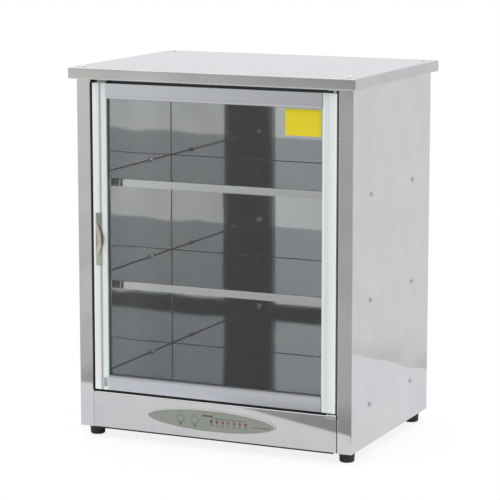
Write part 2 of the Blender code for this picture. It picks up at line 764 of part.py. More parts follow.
def door_handle(hinge):
    """A curved blade on two flat feet; its free edge stands off the stile towards the glass."""
    bm = bmesh.new()
    left = HANDLE_FROM_EDGE - DOOR_X
    bottom = (DOOR_BOTTOM + DOOR_TOP - HANDLE_LENGTH) / 2 - HANDLE_DROP
    middle = HANDLE_LENGTH - 2 * HANDLE_FOOT
    levels = [0, *[HANDLE_FOOT + middle * i / HANDLE_STEPS for i in range(HANDLE_STEPS + 1)], HANDLE_LENGTH]
    rows = []
    for level in levels:
        along = min(max((level - HANDLE_FOOT) / middle, 0), 1)
        bulge = math.sin(math.pi * along)
        width = HANDLE_WIDTH + HANDLE_FLARE * bulge
        shares = [i / HANDLE_CURVE_STEPS for i in range(HANDLE_CURVE_STEPS + 1)]
        rise = HANDLE_RISE * bulge
        inner = [(left + width * s, FRONT - GAP - rise * math.sin(s * math.pi / 2)) for s in shares]
        outer = [(x, y - HANDLE_SHEET) for x, y in reversed(inner)]
        rows.append([bm.verts.new((x, y, bottom + level)) for x, y in inner + outer])
    for lower, upper in zip(rows, rows[1:]):
        for i in range(len(lower)):
            j = (i + 1) % len(lower)
            bm.faces.new((lower[i], lower[j], upper[j], upper[i]))
    bm.faces.new(rows[0])
    bm.faces.new(rows[-1])
    bmesh.ops.recalc_face_normals(bm, faces=bm.faces[:])
    handle = add_object("door_handle", bm, "satin_nickel")
    smooth(handle)
    hang(handle, hinge)


def door_seal():
    reach = JAMB_X - GAP
    outer = (-reach, FASCIA_TOP + GAP, reach, CASE_TOP)
    back = SEAL_FRONT + SEAL_THICKNESS
    frame_plate("door_seal", outer, inset(outer, SEAL_WIDTH), SEAL_FRONT, back, "black_rubber")


# Door pivots

def bush_holes():
    bm = bmesh.new()
    for end in (DOOR_BOTTOM, DOOR_TOP):
        add_rod(bm, (PIVOT_X, PIVOT_Y, end), (0, 0, 1), BUSH_RADIUS + GAP, 2 * (BUSH_LENGTH + 2 * GAP))
    return add_tool("bush_holes", bm)


def pivots(hinge):
    bore = PIN_RADIUS + BUSH_PLAY
    ring = [(bore, 0), (BUSH_RADIUS, 0), (BUSH_RADIUS, BUSH_LENGTH), (bore, BUSH_LENGTH)]
    levels = {"lower_hinge_bush": DOOR_BOTTOM + GAP, "upper_hinge_bush": DOOR_TOP - GAP - BUSH_LENGTH}
    for name, z in levels.items():
        hang(turned(name, ring, "white_nylon", (PIVOT_X, PIVOT_Y, z), ring=True), hinge)
    bm = bmesh.new()
    add_rod(bm, (PIVOT_X, PIVOT_Y, (DOOR_BOTTOM + DOOR_TOP) / 2), (0, 0, 1), PIN_RADIUS + GAP, CASE_HEIGHT)
    pin_holes = add_tool("hinge_pin_holes", bm)
    right = JAMB_X - 2 * GAP
    left = right - HINGE_PLATE_WIDTH
    rear = SEAL_FRONT - HINGE_PLATE_CLEARANCE
    sill = FASCIA_TOP + GAP
    path = [(rear, sill), (FRONT - GAP, sill), (FRONT - GAP, sill - HINGE_TAB)]
    lower = fold("lower_hinge_bracket", path, "X", left, right, "zinc_plated_steel", HINGE_PLATE)
    combine(lower, pin_holes, "DIFFERENCE")
    head = CASE_TOP - HINGE_PLATE
    upper = box("upper_hinge_bracket", (left, FRONT, head), (right, rear, CASE_TOP), "zinc_plated_steel")
    combine(upper, pin_holes, "DIFFERENCE")
    hinge_pin("lower_hinge_pin", sill + GAP, sill + HINGE_PLATE + GAP, DOOR_BOTTOM - GAP)
    hinge_pin("upper_hinge_pin", CASE_TOP - GAP, head - GAP, DOOR_TOP + GAP)


def hinge_pin(name, foot, collar_start, collar_end):
    """A pin from its bracket, past a collar, into the door."""
    way = 1 if collar_end > foot else -1
    tip = collar_end + way * (BUSH_LENGTH + GAP)
    profile = [
        (0, foot),
        (PIN_RADIUS, foot),
        (PIN_RADIUS, collar_start),
        (PIN_COLLAR, collar_start),
        (PIN_COLLAR, collar_end),
        (PIN_RADIUS, collar_end),
        (PIN_RADIUS, tip),
        (0, tip),
    ]
    turned(name, profile, "zinc_plated_steel", (PIVOT_X, PIVOT_Y, 0))


# Catch and door switch

def catch(hinge):
    left = CATCH_FROM_EDGE - DOOR_X
    right = left + CATCH_WIDTH
    behind = FRONT + STRIKE_DEPTH
    foot = DOOR_TOP + GAP
    path = [(behind, foot + STRIKE_HEIGHT), (behind, foot), (FRONT + STRIKE_FRONT, foot)]
    hang(fold("catch_strike", path, "X", left, right, "zinc_plated_steel"), hinge)
    low = (left, behind + GAP, DOOR_TOP + CATCH_LIFT)
    high = (right, SEAL_FRONT - 2 * GAP, CASE_TOP)
    box("magnetic_catch", low, high, "black_plastic", GAP)


def door_switch(plunger_axis):
    low = (SWITCH_X - SWITCH_WIDTH / 2, CHAMBER_FRONT, SWITCH_Z - SWITCH_HEIGHT / 2)
    high = (SWITCH_X + SWITCH_WIDTH / 2, CHAMBER_FRONT + SWITCH_DEPTH, SWITCH_Z + SWITCH_HEIGHT / 2)
    body = box("door_switch", low, high, "black_plastic", GAP)
    depth = PLUNGER_IN_SWITCH + GAP
    bm = bmesh.new()
    add_rod(bm, (SWITCH_X, CHAMBER_FRONT, SWITCH_Z), (0, 1, 0), PLUNGER_RADIUS + GAP, 2 * depth)
    combine(body, add_tool("plunger_bore", bm), "DIFFERENCE")
    tip = CHAMBER_FRONT - DOOR_BACK - GAP
    profile = [
        (0, -PLUNGER_IN_SWITCH),
        (PLUNGER_RADIUS, -PLUNGER_IN_SWITCH),
        (PLUNGER_RADIUS, tip - PLUNGER_TIP),
        (PLUNGER_RADIUS - PLUNGER_TIP, tip),
        (0, tip),
    ]
    place = (SWITCH_X, CHAMBER_FRONT, SWITCH_Z)
    plunger = turned("switch_plunger", profile, "white_nylon", place, (math.pi / 2, 0, 0))
    hang(plunger, plunger_axis)


# Controls

def light_window(index, play=GAP):
    """Corners, in X and Z, of the window round one indicator light."""
    x = LIGHT_FIRST_X + index * LIGHT_PITCH
    across = LIGHT_WIDTH / 2 + play
    up = LIGHT_HEIGHT / 2 + play
    return (x - across, CONTROL_Z - up), (x + across, CONTROL_Z + up)


def control_overlay():
    bm = bmesh.new()
    place = Matrix.Translation((OVERLAY_X, FRONT - GAP, CONTROL_Z)) @ Matrix.Rotation(math.pi / 2, 4, "X")
    oval = Matrix.Diagonal((OVERLAY_LENGTH / 2, OVERLAY_HEIGHT / 2, 1, 1))
    bmesh.ops.create_circle(bm, cap_ends=True, radius=1, segments=OVERLAY_SIDES, matrix=place @ oval)
    push(bm, bm.faces[:], (0, -OVERLAY, 0))
    overlay = add_object("control_overlay", bm, "grey_overlay_film")
    bm = bmesh.new()
    for x in BUTTON_X:
        add_rod(bm, (x, FRONT, CONTROL_Z), (0, 1, 0), BUTTON_RADIUS + BUTTON_PLAY, 6 * OVERLAY)
    for index in range(LIGHT_COUNT):
        low, high = light_window(index)
        add_box(bm, (low[0], FRONT - 3 * OVERLAY, low[1]), (high[0], FRONT, high[1]))
    combine(overlay, add_tool("overlay_cut_outs", bm), "DIFFERENCE")


def indicator_light_bar():
    low, high = light_window(0, 0)[0], light_window(LIGHT_COUNT - 1, 0)[1]
    start = (low[0] - LIGHT_BAR_EDGE, FASCIA_INSIDE, low[1] - LIGHT_BAR_EDGE)
    end = (high[0] + LIGHT_BAR_EDGE, FASCIA_INSIDE + LIGHT_BAR, high[1] + LIGHT_BAR_EDGE)
    bar = box("indicator_light_bar", start, end, "red_lens_acrylic")
    bm = bmesh.new()
    for index in range(LIGHT_COUNT):
        low, high = light_window(index, 0)
        root = FASCIA_INSIDE + LIGHT_BAR / 2
        add_box(bm, (low[0], OVERLAY_FACE - LIGHT_PROUD, low[1]), (high[0], root, high[1]))
    combine(bar, add_tool("indicator_lenses", bm), "UNION")


def buttons():
    """Round keys; their heights run forward from the inside of the fascia."""
    face = FASCIA_INSIDE - OVERLAY_FACE + BUTTON_PROUD
    profile = [
        (0, -BUTTON_FLANGE_THICKNESS),
        (BUTTON_RADIUS + BUTTON_FLANGE, -BUTTON_FLANGE_THICKNESS),
        (BUTTON_RADIUS + BUTTON_FLANGE, 0),
        (BUTTON_RADIUS, 0),
        (BUTTON_RADIUS, face - BUTTON_PROUD / 2),
        (BUTTON_RADIUS - BUTTON_PROUD / 2, face),
        (0, face),
    ]
    for name, x in zip(("power_button", "timer_button"), BUTTON_X):
        place = (x, FASCIA_INSIDE, CONTROL_Z)
        key = turned(name, profile, "pale_button_plastic", place, (math.pi / 2, 0, 0))
        hang(key, axis_empty(f"{name}_axis", place))


def control_board():
    x = (BUTTON_X[0] + LIGHT_FIRST_X + LIGHT_PITCH * (LIGHT_COUNT - 1)) / 2
    low = (x - BOARD_LENGTH / 2, BOARD_FRONT, CONTROL_Z - BOARD_HEIGHT / 2)
    high = (x + BOARD_LENGTH / 2, BOARD_FRONT + BOARD, CONTROL_Z + BOARD_HEIGHT / 2)
    board = box("control_board", low, high, "green_board_laminate")
    bm = bmesh.new()
    for button in BUTTON_X:
        y = BOARD_FRONT + BOARD / 2
        length = SWITCH_CAP_HEIGHT + BOARD / 2
        add_rod(bm, (button, y - length / 2, CONTROL_Z), (0, 1, 0), SWITCH_CAP_RADIUS, length, SMALL_SIDES)
    for px in (low[0] + BOARD_POST_INSET, high[0] - BOARD_POST_INSET):
        for pz in (low[2] + BOARD_POST_INSET, high[2] - BOARD_POST_INSET):
            length = BOARD_FRONT + BOARD / 2 - FASCIA_INSIDE
            middle = (px, FASCIA_INSIDE + length / 2, pz)
            add_rod(bm, middle, (0, 1, 0), BOARD_POST_RADIUS, length, SMALL_SIDES)
    combine(board, add_tool("board_posts", bm), "UNION")


# Electrical bay

def ballast():
    floor = CASE_BOTTOM + SHEET + GAP
    half = BALLAST_LENGTH / 2
    ear = floor + BALLAST_EAR_THICKNESS
    top = floor + BALLAST_HEIGHT
    section = [
        (floor, -half - BALLAST_EAR),
        (floor, half + BALLAST_EAR),
        (ear, half + BALLAST_EAR),
        (ear, half),
        (top, half),
        (top, -half),
        (ear, -half),
        (ear, -half - BALLAST_EAR),
    ]
    section = [(z, BALLAST_X + x) for z, x in section]
    prism("lamp_ballast", section, "Y", BALLAST_Y - BALLAST_WIDTH / 2, BALLAST_Y + BALLAST_WIDTH / 2,
          "zinc_plated_steel")


def terminal_block():
    floor = CASE_BOTTOM + SHEET + GAP
    half = TERMINAL_LENGTH / 2
    top = floor + TERMINAL_HEIGHT
    section = [(floor, -half), (floor, half), (top, half)]
    pitch = TERMINAL_LENGTH / TERMINAL_WAYS
    for way in reversed(range(TERMINAL_WAYS)):
        middle = (way + 0.5) * pitch - half
        for across, level in ((0.5, top), (0.5, top - TERMINAL_SLOT_DEPTH),
                              (-0.5, top - TERMINAL_SLOT_DEPTH), (-0.5, top)):
            section.append((level, middle + across * TERMINAL_SLOT))
    section.append((top, -half))
    section = [(z, TERMINAL_X + x) for z, x in section]
    prism("terminal_block", section, "Y", TERMINAL_Y - TERMINAL_WIDTH / 2, TERMINAL_Y + TERMINAL_WIDTH / 2,
          "white_nylon")


def power_inlet():
    z = CASE_BOTTOM + INLET_LEVEL
    seat = BACK_PANEL_FRONT + SHEET + GAP
    rear = seat + INLET_FLANGE_THICKNESS
    x_reach = INLET_WIDTH / 2
    z_reach = INLET_HEIGHT / 2
    flange = box("power_inlet", (INLET_X - x_reach - INLET_FLANGE, seat, z - z_reach - INLET_FLANGE),
                 (INLET_X + x_reach + INLET_FLANGE, rear, z + z_reach + INLET_FLANGE), "black_plastic", GAP)
    bm = bmesh.new()
    front = seat - INLET_DEPTH
    add_box(bm, (INLET_X - x_reach, front, z - z_reach), (INLET_X + x_reach, (seat + rear) / 2, z + z_reach))
    combine(flange, add_tool("inlet_body", bm), "UNION")
    bm = bmesh.new()
    wall = INLET_WALL
    add_box(bm, (INLET_X - x_reach + wall, front + wall, z - z_reach + wall),
            (INLET_X + x_reach - wall, rear + wall, z + z_reach - wall))
    combine(flange, add_tool("inlet_recess", bm), "DIFFERENCE")


def build():
    for obj in list(bpy.data.objects):
        bpy.data.objects.remove(obj, do_unlink=True)
    hinge = axis_empty("door_hinge_axis", (PIVOT_X, PIVOT_Y, DOOR_BOTTOM))
    plunger_axis = axis_empty("switch_plunger_axis", (SWITCH_X, CHAMBER_FRONT, SWITCH_Z))
    holes = screw_holes()
    side_panel("left_side_panel", -1, holes)
    side_panel("right_side_panel", 1, holes)
    top_panel()
    back_panel()
    base_plate()
    feet()
    stop_frame()
    front_fascia()
    chamber(holes)
    shelf_screws()
    lamp()
    lamp_fittings()
    door_frame(hinge)
    glazing(hinge)
    door_handle(hinge)
    door_seal()
    pivots(hinge)
    catch(hinge)
    door_switch(plunger_axis)
    control_overlay()
    indicator_light_bar()
    buttons()
    control_board()
    ballast()
    terminal_block()
    power_inlet()


build()
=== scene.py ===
import json
import math

import bpy
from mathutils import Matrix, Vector


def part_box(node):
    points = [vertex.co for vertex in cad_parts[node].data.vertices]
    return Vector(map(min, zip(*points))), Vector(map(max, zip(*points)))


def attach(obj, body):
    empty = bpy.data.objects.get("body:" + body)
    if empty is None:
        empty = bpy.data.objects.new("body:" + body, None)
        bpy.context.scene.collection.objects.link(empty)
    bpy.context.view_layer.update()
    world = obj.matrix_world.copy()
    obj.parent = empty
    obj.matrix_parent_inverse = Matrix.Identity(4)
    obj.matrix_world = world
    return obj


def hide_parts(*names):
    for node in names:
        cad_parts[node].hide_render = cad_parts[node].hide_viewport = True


# UV sterilizer cabinet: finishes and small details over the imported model, in metres with +Z up
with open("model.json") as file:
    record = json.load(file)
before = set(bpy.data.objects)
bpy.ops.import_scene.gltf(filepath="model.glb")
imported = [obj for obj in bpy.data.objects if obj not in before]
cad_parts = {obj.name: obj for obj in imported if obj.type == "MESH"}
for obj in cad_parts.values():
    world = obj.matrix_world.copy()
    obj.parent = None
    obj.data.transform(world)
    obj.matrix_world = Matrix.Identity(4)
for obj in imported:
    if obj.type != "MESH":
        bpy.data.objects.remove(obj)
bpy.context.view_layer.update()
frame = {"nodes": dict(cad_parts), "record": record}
nodes = frame["nodes"]
screwNodes = sorted(name for name in nodes if name.endswith("_screw"))
hair = 1e-6  # a hair's breadth, for picking edges by their place
facing = 0.9  # a normal or an edge this near to an axis counts as along it
quarter = math.pi / 2  # a quarter turn
upright = (0, 0, 0)  # not turned
print("frame loaded,", len(nodes), "nodes")


def mm(size):
    return size / 1000


def perMm(size):
    return 1000 / size  # texture scale for a pattern of this size in millimetres


def hexColour(code):
    channels = [int(code[i:i + 2], 16) / 255 for i in (1, 3, 5)]
    return [c / 12.92 if c <= 0.04045 else ((c + 0.055) / 1.055) ** 2.4 for c in channels] + [1.0]


def addNode(tree, kind, settings=None, links=None):
    node = tree.nodes.new(kind)
    for key, value in (settings or {}).items():
        if isinstance(key, int) or key in node.inputs:
            node.inputs[key].default_value = value
        else:
            setattr(node, key, value)
    for key, socket in (links or {}).items():
        tree.links.new(socket, node.inputs[key])
    return node


def setRamp(node, stops):
    ramp = node.color_ramp
    while len(ramp.elements) < len(stops):
        ramp.elements.new(1.0)
    for element, (position, colour) in zip(ramp.elements, stops):
        element.position = position
        element.color = hexColour(colour)


def newMaterial(name):
    material = bpy.data.materials.new(name)
    material.use_nodes = True
    tree = material.node_tree
    place = addNode(tree, "ShaderNodeTexCoord").outputs["Object"]
    return material, tree, tree.nodes["Principled BSDF"], place


def setShader(shader, settings):
    for key, value in settings.items():
        shader.inputs[key].default_value = value


# finishes: lines and grain that are too fine to show are drawn coarser than the real ones

noiseSpan = (0.3, 0.7)  # where nearly all of a noise's values lie
toneSpan = (0.35, 0.65)  # where the tones of a grain change
wipeSpan = (0.4, 0.8)  # wiped only here and there


def breakShine(tree, shader, pattern, span, limits):
    # lets the roughness follow a pattern, between its own limits
    rough = addNode(tree, "ShaderNodeMapRange",
                    {"From Min": span[0], "From Max": span[1], "To Min": limits[0], "To Max": limits[1]},
                    {"Value": pattern})
    tree.links.new(rough.outputs["Result"], shader.inputs["Roughness"])


def raiseRelief(tree, shader, pattern, depthMm, strength):
    bump = addNode(tree, "ShaderNodeBump", {"Strength": strength, "Distance": mm(depthMm)},
                   {"Height": pattern})
    tree.links.new(bump.outputs["Normal"], shader.inputs["Normal"])


def paintLightBands(tree, shader, place, paintedBands):
    # painted light and shade: a colour that changes from band to band along one axis, lighter where a face is
    # lit and darker where it lies in shade, such as a bead beside a flat
    axes = addNode(tree, "ShaderNodeSeparateXYZ", None, {"Vector": place})
    low, high = paintedBands["rangeMm"]
    share = addNode(tree, "ShaderNodeMapRange", {"From Min": mm(low), "From Max": mm(high)},
                    {"Value": axes.outputs[paintedBands["axis"]]})
    tone = addNode(tree, "ShaderNodeValToRGB", None, {"Fac": share.outputs["Result"]})
    setRamp(tone, [((edge - low) / (high - low), colour) for edge, colour in paintedBands["stopsMm"]])
    tree.links.new(tone.outputs["Color"], shader.inputs["Base Color"])


def polishedStainless(name, look):
    # mirror-polished 304 sheet: near-mirror, slightly wavy from folding, faint polishing lines and wipe marks
    material, tree, shader, place = newMaterial(name)
    setShader(shader, {"Metallic": 1.0, "Specular Tint": hexColour(look["grazing"])})
    lines = addNode(tree, "ShaderNodeMapping", {"Scale": look["lineStretch"]}, {"Vector": place})
    grain = addNode(tree, "ShaderNodeTexNoise", {"Scale": perMm(look["lineMm"]), "Detail": 3.0},
                    {"Vector": lines.outputs["Vector"]})
    wipes = addNode(tree, "ShaderNodeTexNoise", {"Scale": perMm(look["wipeMm"]), "Detail": 4.0},
                    {"Vector": place})
    marks = addNode(tree, "ShaderNodeMath", {"operation": "MULTIPLY"},
                    {0: grain.outputs["Fac"], 1: wipes.outputs["Fac"]})
    breakShine(tree, shader, marks.outputs["Value"], look["markSpan"], look["roughness"])
    # painted light and shade in bands, where the look lists them
    if "paintedBands" in look:
        paintLightBands(tree, shader, place, look["paintedBands"])
    else:  # cool and warm patches, hardly to be seen
        tone = addNode(tree, "ShaderNodeValToRGB", None, {"Fac": wipes.outputs["Fac"]})
        setRamp(tone, list(zip(look["patches"], (look["cool"], look["warm"]))))
        tree.links.new(tone.outputs["Color"], shader.inputs["Base Color"])
    wave = addNode(tree, "ShaderNodeTexNoise", {"Scale": perMm(look["waveMm"]), "Detail": 1.0},
                   {"Vector": place})
    raiseRelief(tree, shader, wave.outputs["Fac"], look["waveDepthMm"], strength=1.0)
    return material


def aluminium(name, look):
    # extruded or rolled aluminium, bright or anodised: a soft pale sheen with fine lines along its length
    material, tree, shader, place = newMaterial(name)
    setShader(shader, {"Metallic": look["metallic"]})
    # painted light and shade in bands, where the look lists them
    if "paintedBands" in look:
        paintLightBands(tree, shader, place, look["paintedBands"])
    else:
        setShader(shader, {"Base Color": hexColour(look["colour"])})
    lines = addNode(tree, "ShaderNodeMapping", {"Scale": look["lineStretch"]}, {"Vector": place})
    die = addNode(tree, "ShaderNodeTexNoise", {"Scale": perMm(look["lineMm"]), "Detail": 4.0},
                  {"Vector": lines.outputs["Vector"]})
    breakShine(tree, shader, die.outputs["Fac"], noiseSpan, look["roughness"])
    raiseRelief(tree, shader, die.outputs["Fac"], look["depthMm"], look["relief"])
    return material


def floatGlass(name, look):
    # soda-lime float or quartz: clear, with wiping that dulls its shine here and there
    material, tree, shader, place = newMaterial(name)
    setShader(shader, {"Base Color": hexColour(look["colour"]), "Transmission Weight": 1.0, "IOR": 1.52})
    wipes = addNode(tree, "ShaderNodeTexNoise", {"Scale": perMm(look["wipeMm"]), "Detail": 5.0},
                    {"Vector": place})
    breakShine(tree, shader, wipes.outputs["Fac"], wipeSpan, look["roughness"])
    return material


def grainedSolid(name, look):
    # a moulded, plated or printed surface: two close tones in a fine grain, which also breaks up its shine
    material, tree, shader, place = newMaterial(name)
    setShader(shader, {"Metallic": look.get("metallic", 0.0)})
    stretch = addNode(tree, "ShaderNodeMapping", {"Scale": look.get("stretch", (1, 1, 1))}, {"Vector": place})
    grain = addNode(tree, "ShaderNodeTexNoise", {"Scale": perMm(look["grainMm"]), "Detail": 4.0},
                    {"Vector": stretch.outputs["Vector"]})
    tone = addNode(tree, "ShaderNodeValToRGB", None, {"Fac": grain.outputs["Fac"]})
    setRamp(tone, list(zip(toneSpan, (look["dark"], look["light"]))))
    breakShine(tree, shader, grain.outputs["Fac"], noiseSpan, look["roughness"])
    raiseRelief(tree, shader, grain.outputs["Fac"], look["depthMm"], strength=0.4)
    tree.links.new(tone.outputs["Color"], shader.inputs["Base Color"])
    return material


def redLenses(name, look):
    # one moulded acrylic bar: dim red windows, and the first, which isn't lit, nearly black
    material, tree, shader, place = newMaterial(name)
    setShader(shader, {"Roughness": 0.16, "Coat Weight": 0.3})
    axes = addNode(tree, "ShaderNodeSeparateXYZ", None, {"Vector": place})
    low, high = look["rangeMm"]
    along = addNode(tree, "ShaderNodeMapRange", {"From Min": mm(low), "From Max": mm(high)},
                    {"Value": axes.outputs["X"]})
    cloud = addNode(tree, "ShaderNodeTexNoise", {"Scale": perMm(look["cloudMm"]), "Detail": 3.0},
                    {"Vector": place})
    shift = addNode(tree, "ShaderNodeMath", {"operation": "MULTIPLY_ADD", 1: look["cloudShift"]},
                    {0: cloud.outputs["Fac"], 2: along.outputs["Result"]})
    tone = addNode(tree, "ShaderNodeValToRGB", None, {"Fac": shift.outputs["Value"]})
    setRamp(tone, look["tones"])
    tree.links.new(tone.outputs["Color"], shader.inputs["Base Color"])
    return material


alongX = (0.01, 1, 1)  # lines run along X: the pattern is stretched that way
alongZ = (1, 1, 0.01)
sheetLook = {"cool": "#c5c5c6", "warm": "#cbcbc8", "patches": (0.38, 0.62), "grazing": "#ffffff",
             "lineMm": 0.7, "lineStretch": alongX, "wipeMm": 90, "markSpan": (0.1, 0.45),
             "roughness": (0.03, 0.08), "waveMm": 260, "waveDepthMm": 0.5}
finishes = {
    "caseSheet": polishedStainless("polished stainless case", sheetLook),
    "topSheet": polishedStainless("polished stainless top", {  # a darker copy of the case sheet: painted shade on the top pan
        **sheetLook, "cool": "#bebec0", "warm": "#c3c3c1"}),
    "sideSheet": polishedStainless("polished stainless side", {  # wide sheets, which mirror in waves, and a lighter copy of the case sheet: painted light on the sides
        **sheetLook, "cool": "#cacacb", "warm": "#cfcfce", "lineStretch": alongZ,
        "waveMm": 200, "waveDepthMm": 3.0}),
    "chamberSheet": polishedStainless("polished stainless chamber", {  # a lighter copy of the case sheet, painted light inside the chamber, and a flatter mirror
        **sheetLook, "cool": "#d6d8dc", "warm": "#dedddb", "waveDepthMm": 0.25}),
    "shelfSheet": polishedStainless("polished stainless shelf", {  # painted highlight on the folded front lip, and painted shade, darker and bluer, on the rest of the shelf
        **sheetLook, "grazing": "#ebedef", "waveDepthMm": 0.2, "roughness": (0.06, 0.12),
        "paintedBands": {"axis": "Y", "rangeMm": (-160, -150),
                  "stopsMm": [(-156.4, "#cbcbc9"), (-155.8, "#a9adb2")]}}),
    "stileAluminium": aluminium("anodised aluminium stile", {  # painted light and shade: nearly white painted highlight on the flats, painted shade in the groove, the right stile a shade darker than the left
        "lineMm": 0.5, "lineStretch": alongZ, "roughness": (0.28, 0.32), "metallic": 0.55,
        "relief": 0.1, "depthMm": 0.02, "paintedBands": {"axis": "X", "rangeMm": (-240, 240), "stopsMm": [
            (-238.4, "#fbfbfb"), (-235.6, "#f6f6f7"), (-227.2, "#f0f2f3"), (-223.6, "#b4bab9"),
            (-222.4, "#aeb5b4"), (-219.8, "#f4fcf9"), (-211.4, "#f4fcf9"), (211.4, "#e6e9e9"),
            (215.4, "#eff2f2"), (218.4, "#d2dbda"), (222.2, "#eaf4f2"), (232.4, "#f4fbfa"),
            (235.6, "#ffffff")]}}),
    "railAluminium": aluminium("anodised aluminium rail", {  # greyer and shinier than the stiles, with painted light: the bottom rail lighter towards its upper edge, the top rail lighter along its upper edge
        "lineMm": 0.5, "lineStretch": alongX, "roughness": (0.1, 0.18), "metallic": 1.0,
        "relief": 0.3, "depthMm": 0.02, "paintedBands": {"axis": "Z", "rangeMm": (90, 660), "stopsMm": [
            (91.5, "#ccced4"), (98, "#d3d6dc"), (106, "#dfe2e8"), (114.4, "#e6e9ee"),
            (114.8, "#c0c3c8"), (633.2, "#b2b5ba"), (633.6, "#ced1d6")]}}),
    "brightAluminium": aluminium("bright rolled aluminium", {  # a pale mirror, brushed by the rolls
        "colour": "#e2e4e5", "lineMm": 0.4, "lineStretch": alongZ, "roughness": (0.08, 0.16),
        "metallic": 1.0, "relief": 0.3, "depthMm": 0.02}),
    "glass": floatGlass("float glass", {  # a trace of green
        "colour": "#fafdfc", "wipeMm": 60, "roughness": (0.0, 0.02)}),
    "quartz": floatGlass("lamp quartz", {  # a trace of blue
        "colour": "#f2f5f7", "wipeMm": 30, "roughness": (0.0, 0.03)}),
    "rubber": grainedSolid("moulded black rubber", {  # matt black, hardly a highlight
        "dark": "#121213", "light": "#232325", "grainMm": 0.5, "depthMm": 0.03, "roughness": (0.5, 0.7)}),
    "gasketGrey": grainedSolid("extruded grey gasket", {  # soft mid grey line round the glass
        "dark": "#6b6e6f", "light": "#787b7c", "grainMm": 0.5, "depthMm": 0.02, "roughness": (0.45, 0.6)}),
    "nickel": grainedSolid("satin nickel plate", {  # grey green metal, brushed upright
        "dark": "#a3a79c", "light": "#b1b5aa", "grainMm": 0.3, "depthMm": 0.004, "roughness": (0.2, 0.3),
        "metallic": 1.0, "stretch": alongZ}),
    "paintedLitNickel": grainedSolid("nickel with painted highlight", {  # the same nickel painted warmer and brighter on the lit front of the tab: a painted highlight
        "dark": "#bdb7ab", "light": "#cac4b9", "grainMm": 0.3, "depthMm": 0.004, "roughness": (0.16, 0.26),
        "metallic": 1.0, "stretch": alongZ}),
    "paintedShadeNickel": grainedSolid("nickel with painted shade", {  # the same nickel painted dark on the edge and inside of the tab: painted shade
        "dark": "#50544d", "light": "#5c6059", "grainMm": 0.3, "depthMm": 0.006, "roughness": (0.35, 0.45),
        "metallic": 1.0}),
    "zinc": grainedSolid("zinc plated steel", {  # mottled blue grey
        "dark": "#a9abae", "light": "#c6c8ca", "grainMm": 1.2, "depthMm": 0.004, "roughness": (0.25, 0.4),
        "metallic": 1.0}),
    "screwSteel": grainedSolid("bright screw steel", {  # small sharp highlights
        "dark": "#bababa", "light": "#cacac9", "grainMm": 0.6, "depthMm": 0.003, "roughness": (0.12, 0.22),
        "metallic": 1.0}),
    "capSteel": grainedSolid("satin chrome cap", {  # the brightest metal, a dot of light
        "dark": "#f0f0ee", "light": "#fafaf8", "grainMm": 0.6, "depthMm": 0.003, "roughness": (0.1, 0.16),
        "metallic": 1.0}),
    "groundSeam": grainedSolid("ground weld seam", {  # dull line across the mirror
        "dark": "#b7babd", "light": "#c6c9cc", "grainMm": 0.8, "depthMm": 0.02, "roughness": (0.3, 0.42),
        "metallic": 1.0}),
    "paintedGapShade": grainedSolid("dark strips of painted gap shade", {  # nearly black, slightly glossy: painted shade for the gaps along the shelf edges
        "dark": "#383b3f", "light": "#484b4f", "grainMm": 0.8, "depthMm": 0.05, "roughness": (0.35, 0.5)}),
    "nylon": grainedSolid("moulded white nylon", {  # warm milky white
        "dark": "#dedcd5", "light": "#eae8e2", "grainMm": 0.8, "depthMm": 0.01, "roughness": (0.4, 0.55)}),
    "blackAbs": grainedSolid("moulded black abs", {  # black with a soft sheen
        "dark": "#19191b", "light": "#242427", "grainMm": 0.6, "depthMm": 0.02, "roughness": (0.35, 0.5)}),
    "film": grainedSolid("printed polyester film", {  # satin grey green
        "dark": "#83887f", "light": "#8e938a", "grainMm": 0.4, "depthMm": 0.006, "roughness": (0.3, 0.42)}),
    "ink": grainedSolid("dark screen ink", {  # flat dark print
        "dark": "#2b302b", "light": "#383d37", "grainMm": 0.2, "depthMm": 0.004, "roughness": (0.4, 0.5)}),
    "rim": grainedSolid("pale embossed rim", {  # pale satin edge round the panel
        "dark": "#bdbeba", "light": "#c7c8c4", "grainMm": 0.5, "depthMm": 0.006, "roughness": (0.3, 0.42)}),
    "yellowFilm": grainedSolid("yellow vinyl film", {  # strong yellow, satin
        "dark": "#d9c512", "light": "#e4d11c", "grainMm": 0.8, "depthMm": 0.006, "roughness": (0.3, 0.4)}),
    "button": grainedSolid("moulded button plastic", {  # like the film round it, a little shinier
        "dark": "#878d84", "light": "#92988e", "grainMm": 0.4, "depthMm": 0.006, "roughness": (0.35, 0.5)}),
    "redLens": redLenses("red acrylic lens", {
        "rangeMm": (-6.5, 71.3), "cloudMm": 2, "cloudShift": 0.06,
        "tones": [(0.10, "#3b3034"), (0.13, "#783f47"), (0.6, "#8a4a53"), (1.0, "#783f47")]}),
    "board": grainedSolid("lacquered board laminate", {  # glossy green
        "dark": "#255a3d", "light": "#32714d", "grainMm": 1.0, "depthMm": 0.006, "roughness": (0.3, 0.45)}),
}
slotFinish = {
    "polished_stainless": "caseSheet", "anodised_aluminium": "stileAluminium", "clear_glass": "glass",
    "black_rubber": "rubber", "satin_nickel": "nickel", "zinc_plated_steel": "zinc",
    "white_nylon": "nylon", "black_plastic": "blackAbs", "grey_overlay_film": "film",
    "pale_button_plastic": "button", "red_lens_acrylic": "redLens", "green_board_laminate": "board",
    "lamp_glass": "quartz", "bright_reflector": "brightAluminium",
}
nodeFinish = {  # where a node's finish isn't its slot's own
    "left_side_panel": "sideSheet", "right_side_panel": "sideSheet", "back_panel": "chamberSheet",
    "ceiling_panel": "chamberSheet", "stop_frame": "chamberSheet", "chamber_floor": "shelfSheet",
    "lower_shelf": "shelfSheet", "upper_shelf": "shelfSheet", "door_top_rail": "railAluminium",
    "door_bottom_rail": "railAluminium", "glazing_gasket": "gasketGrey", "door_seal": "gasketGrey",
}
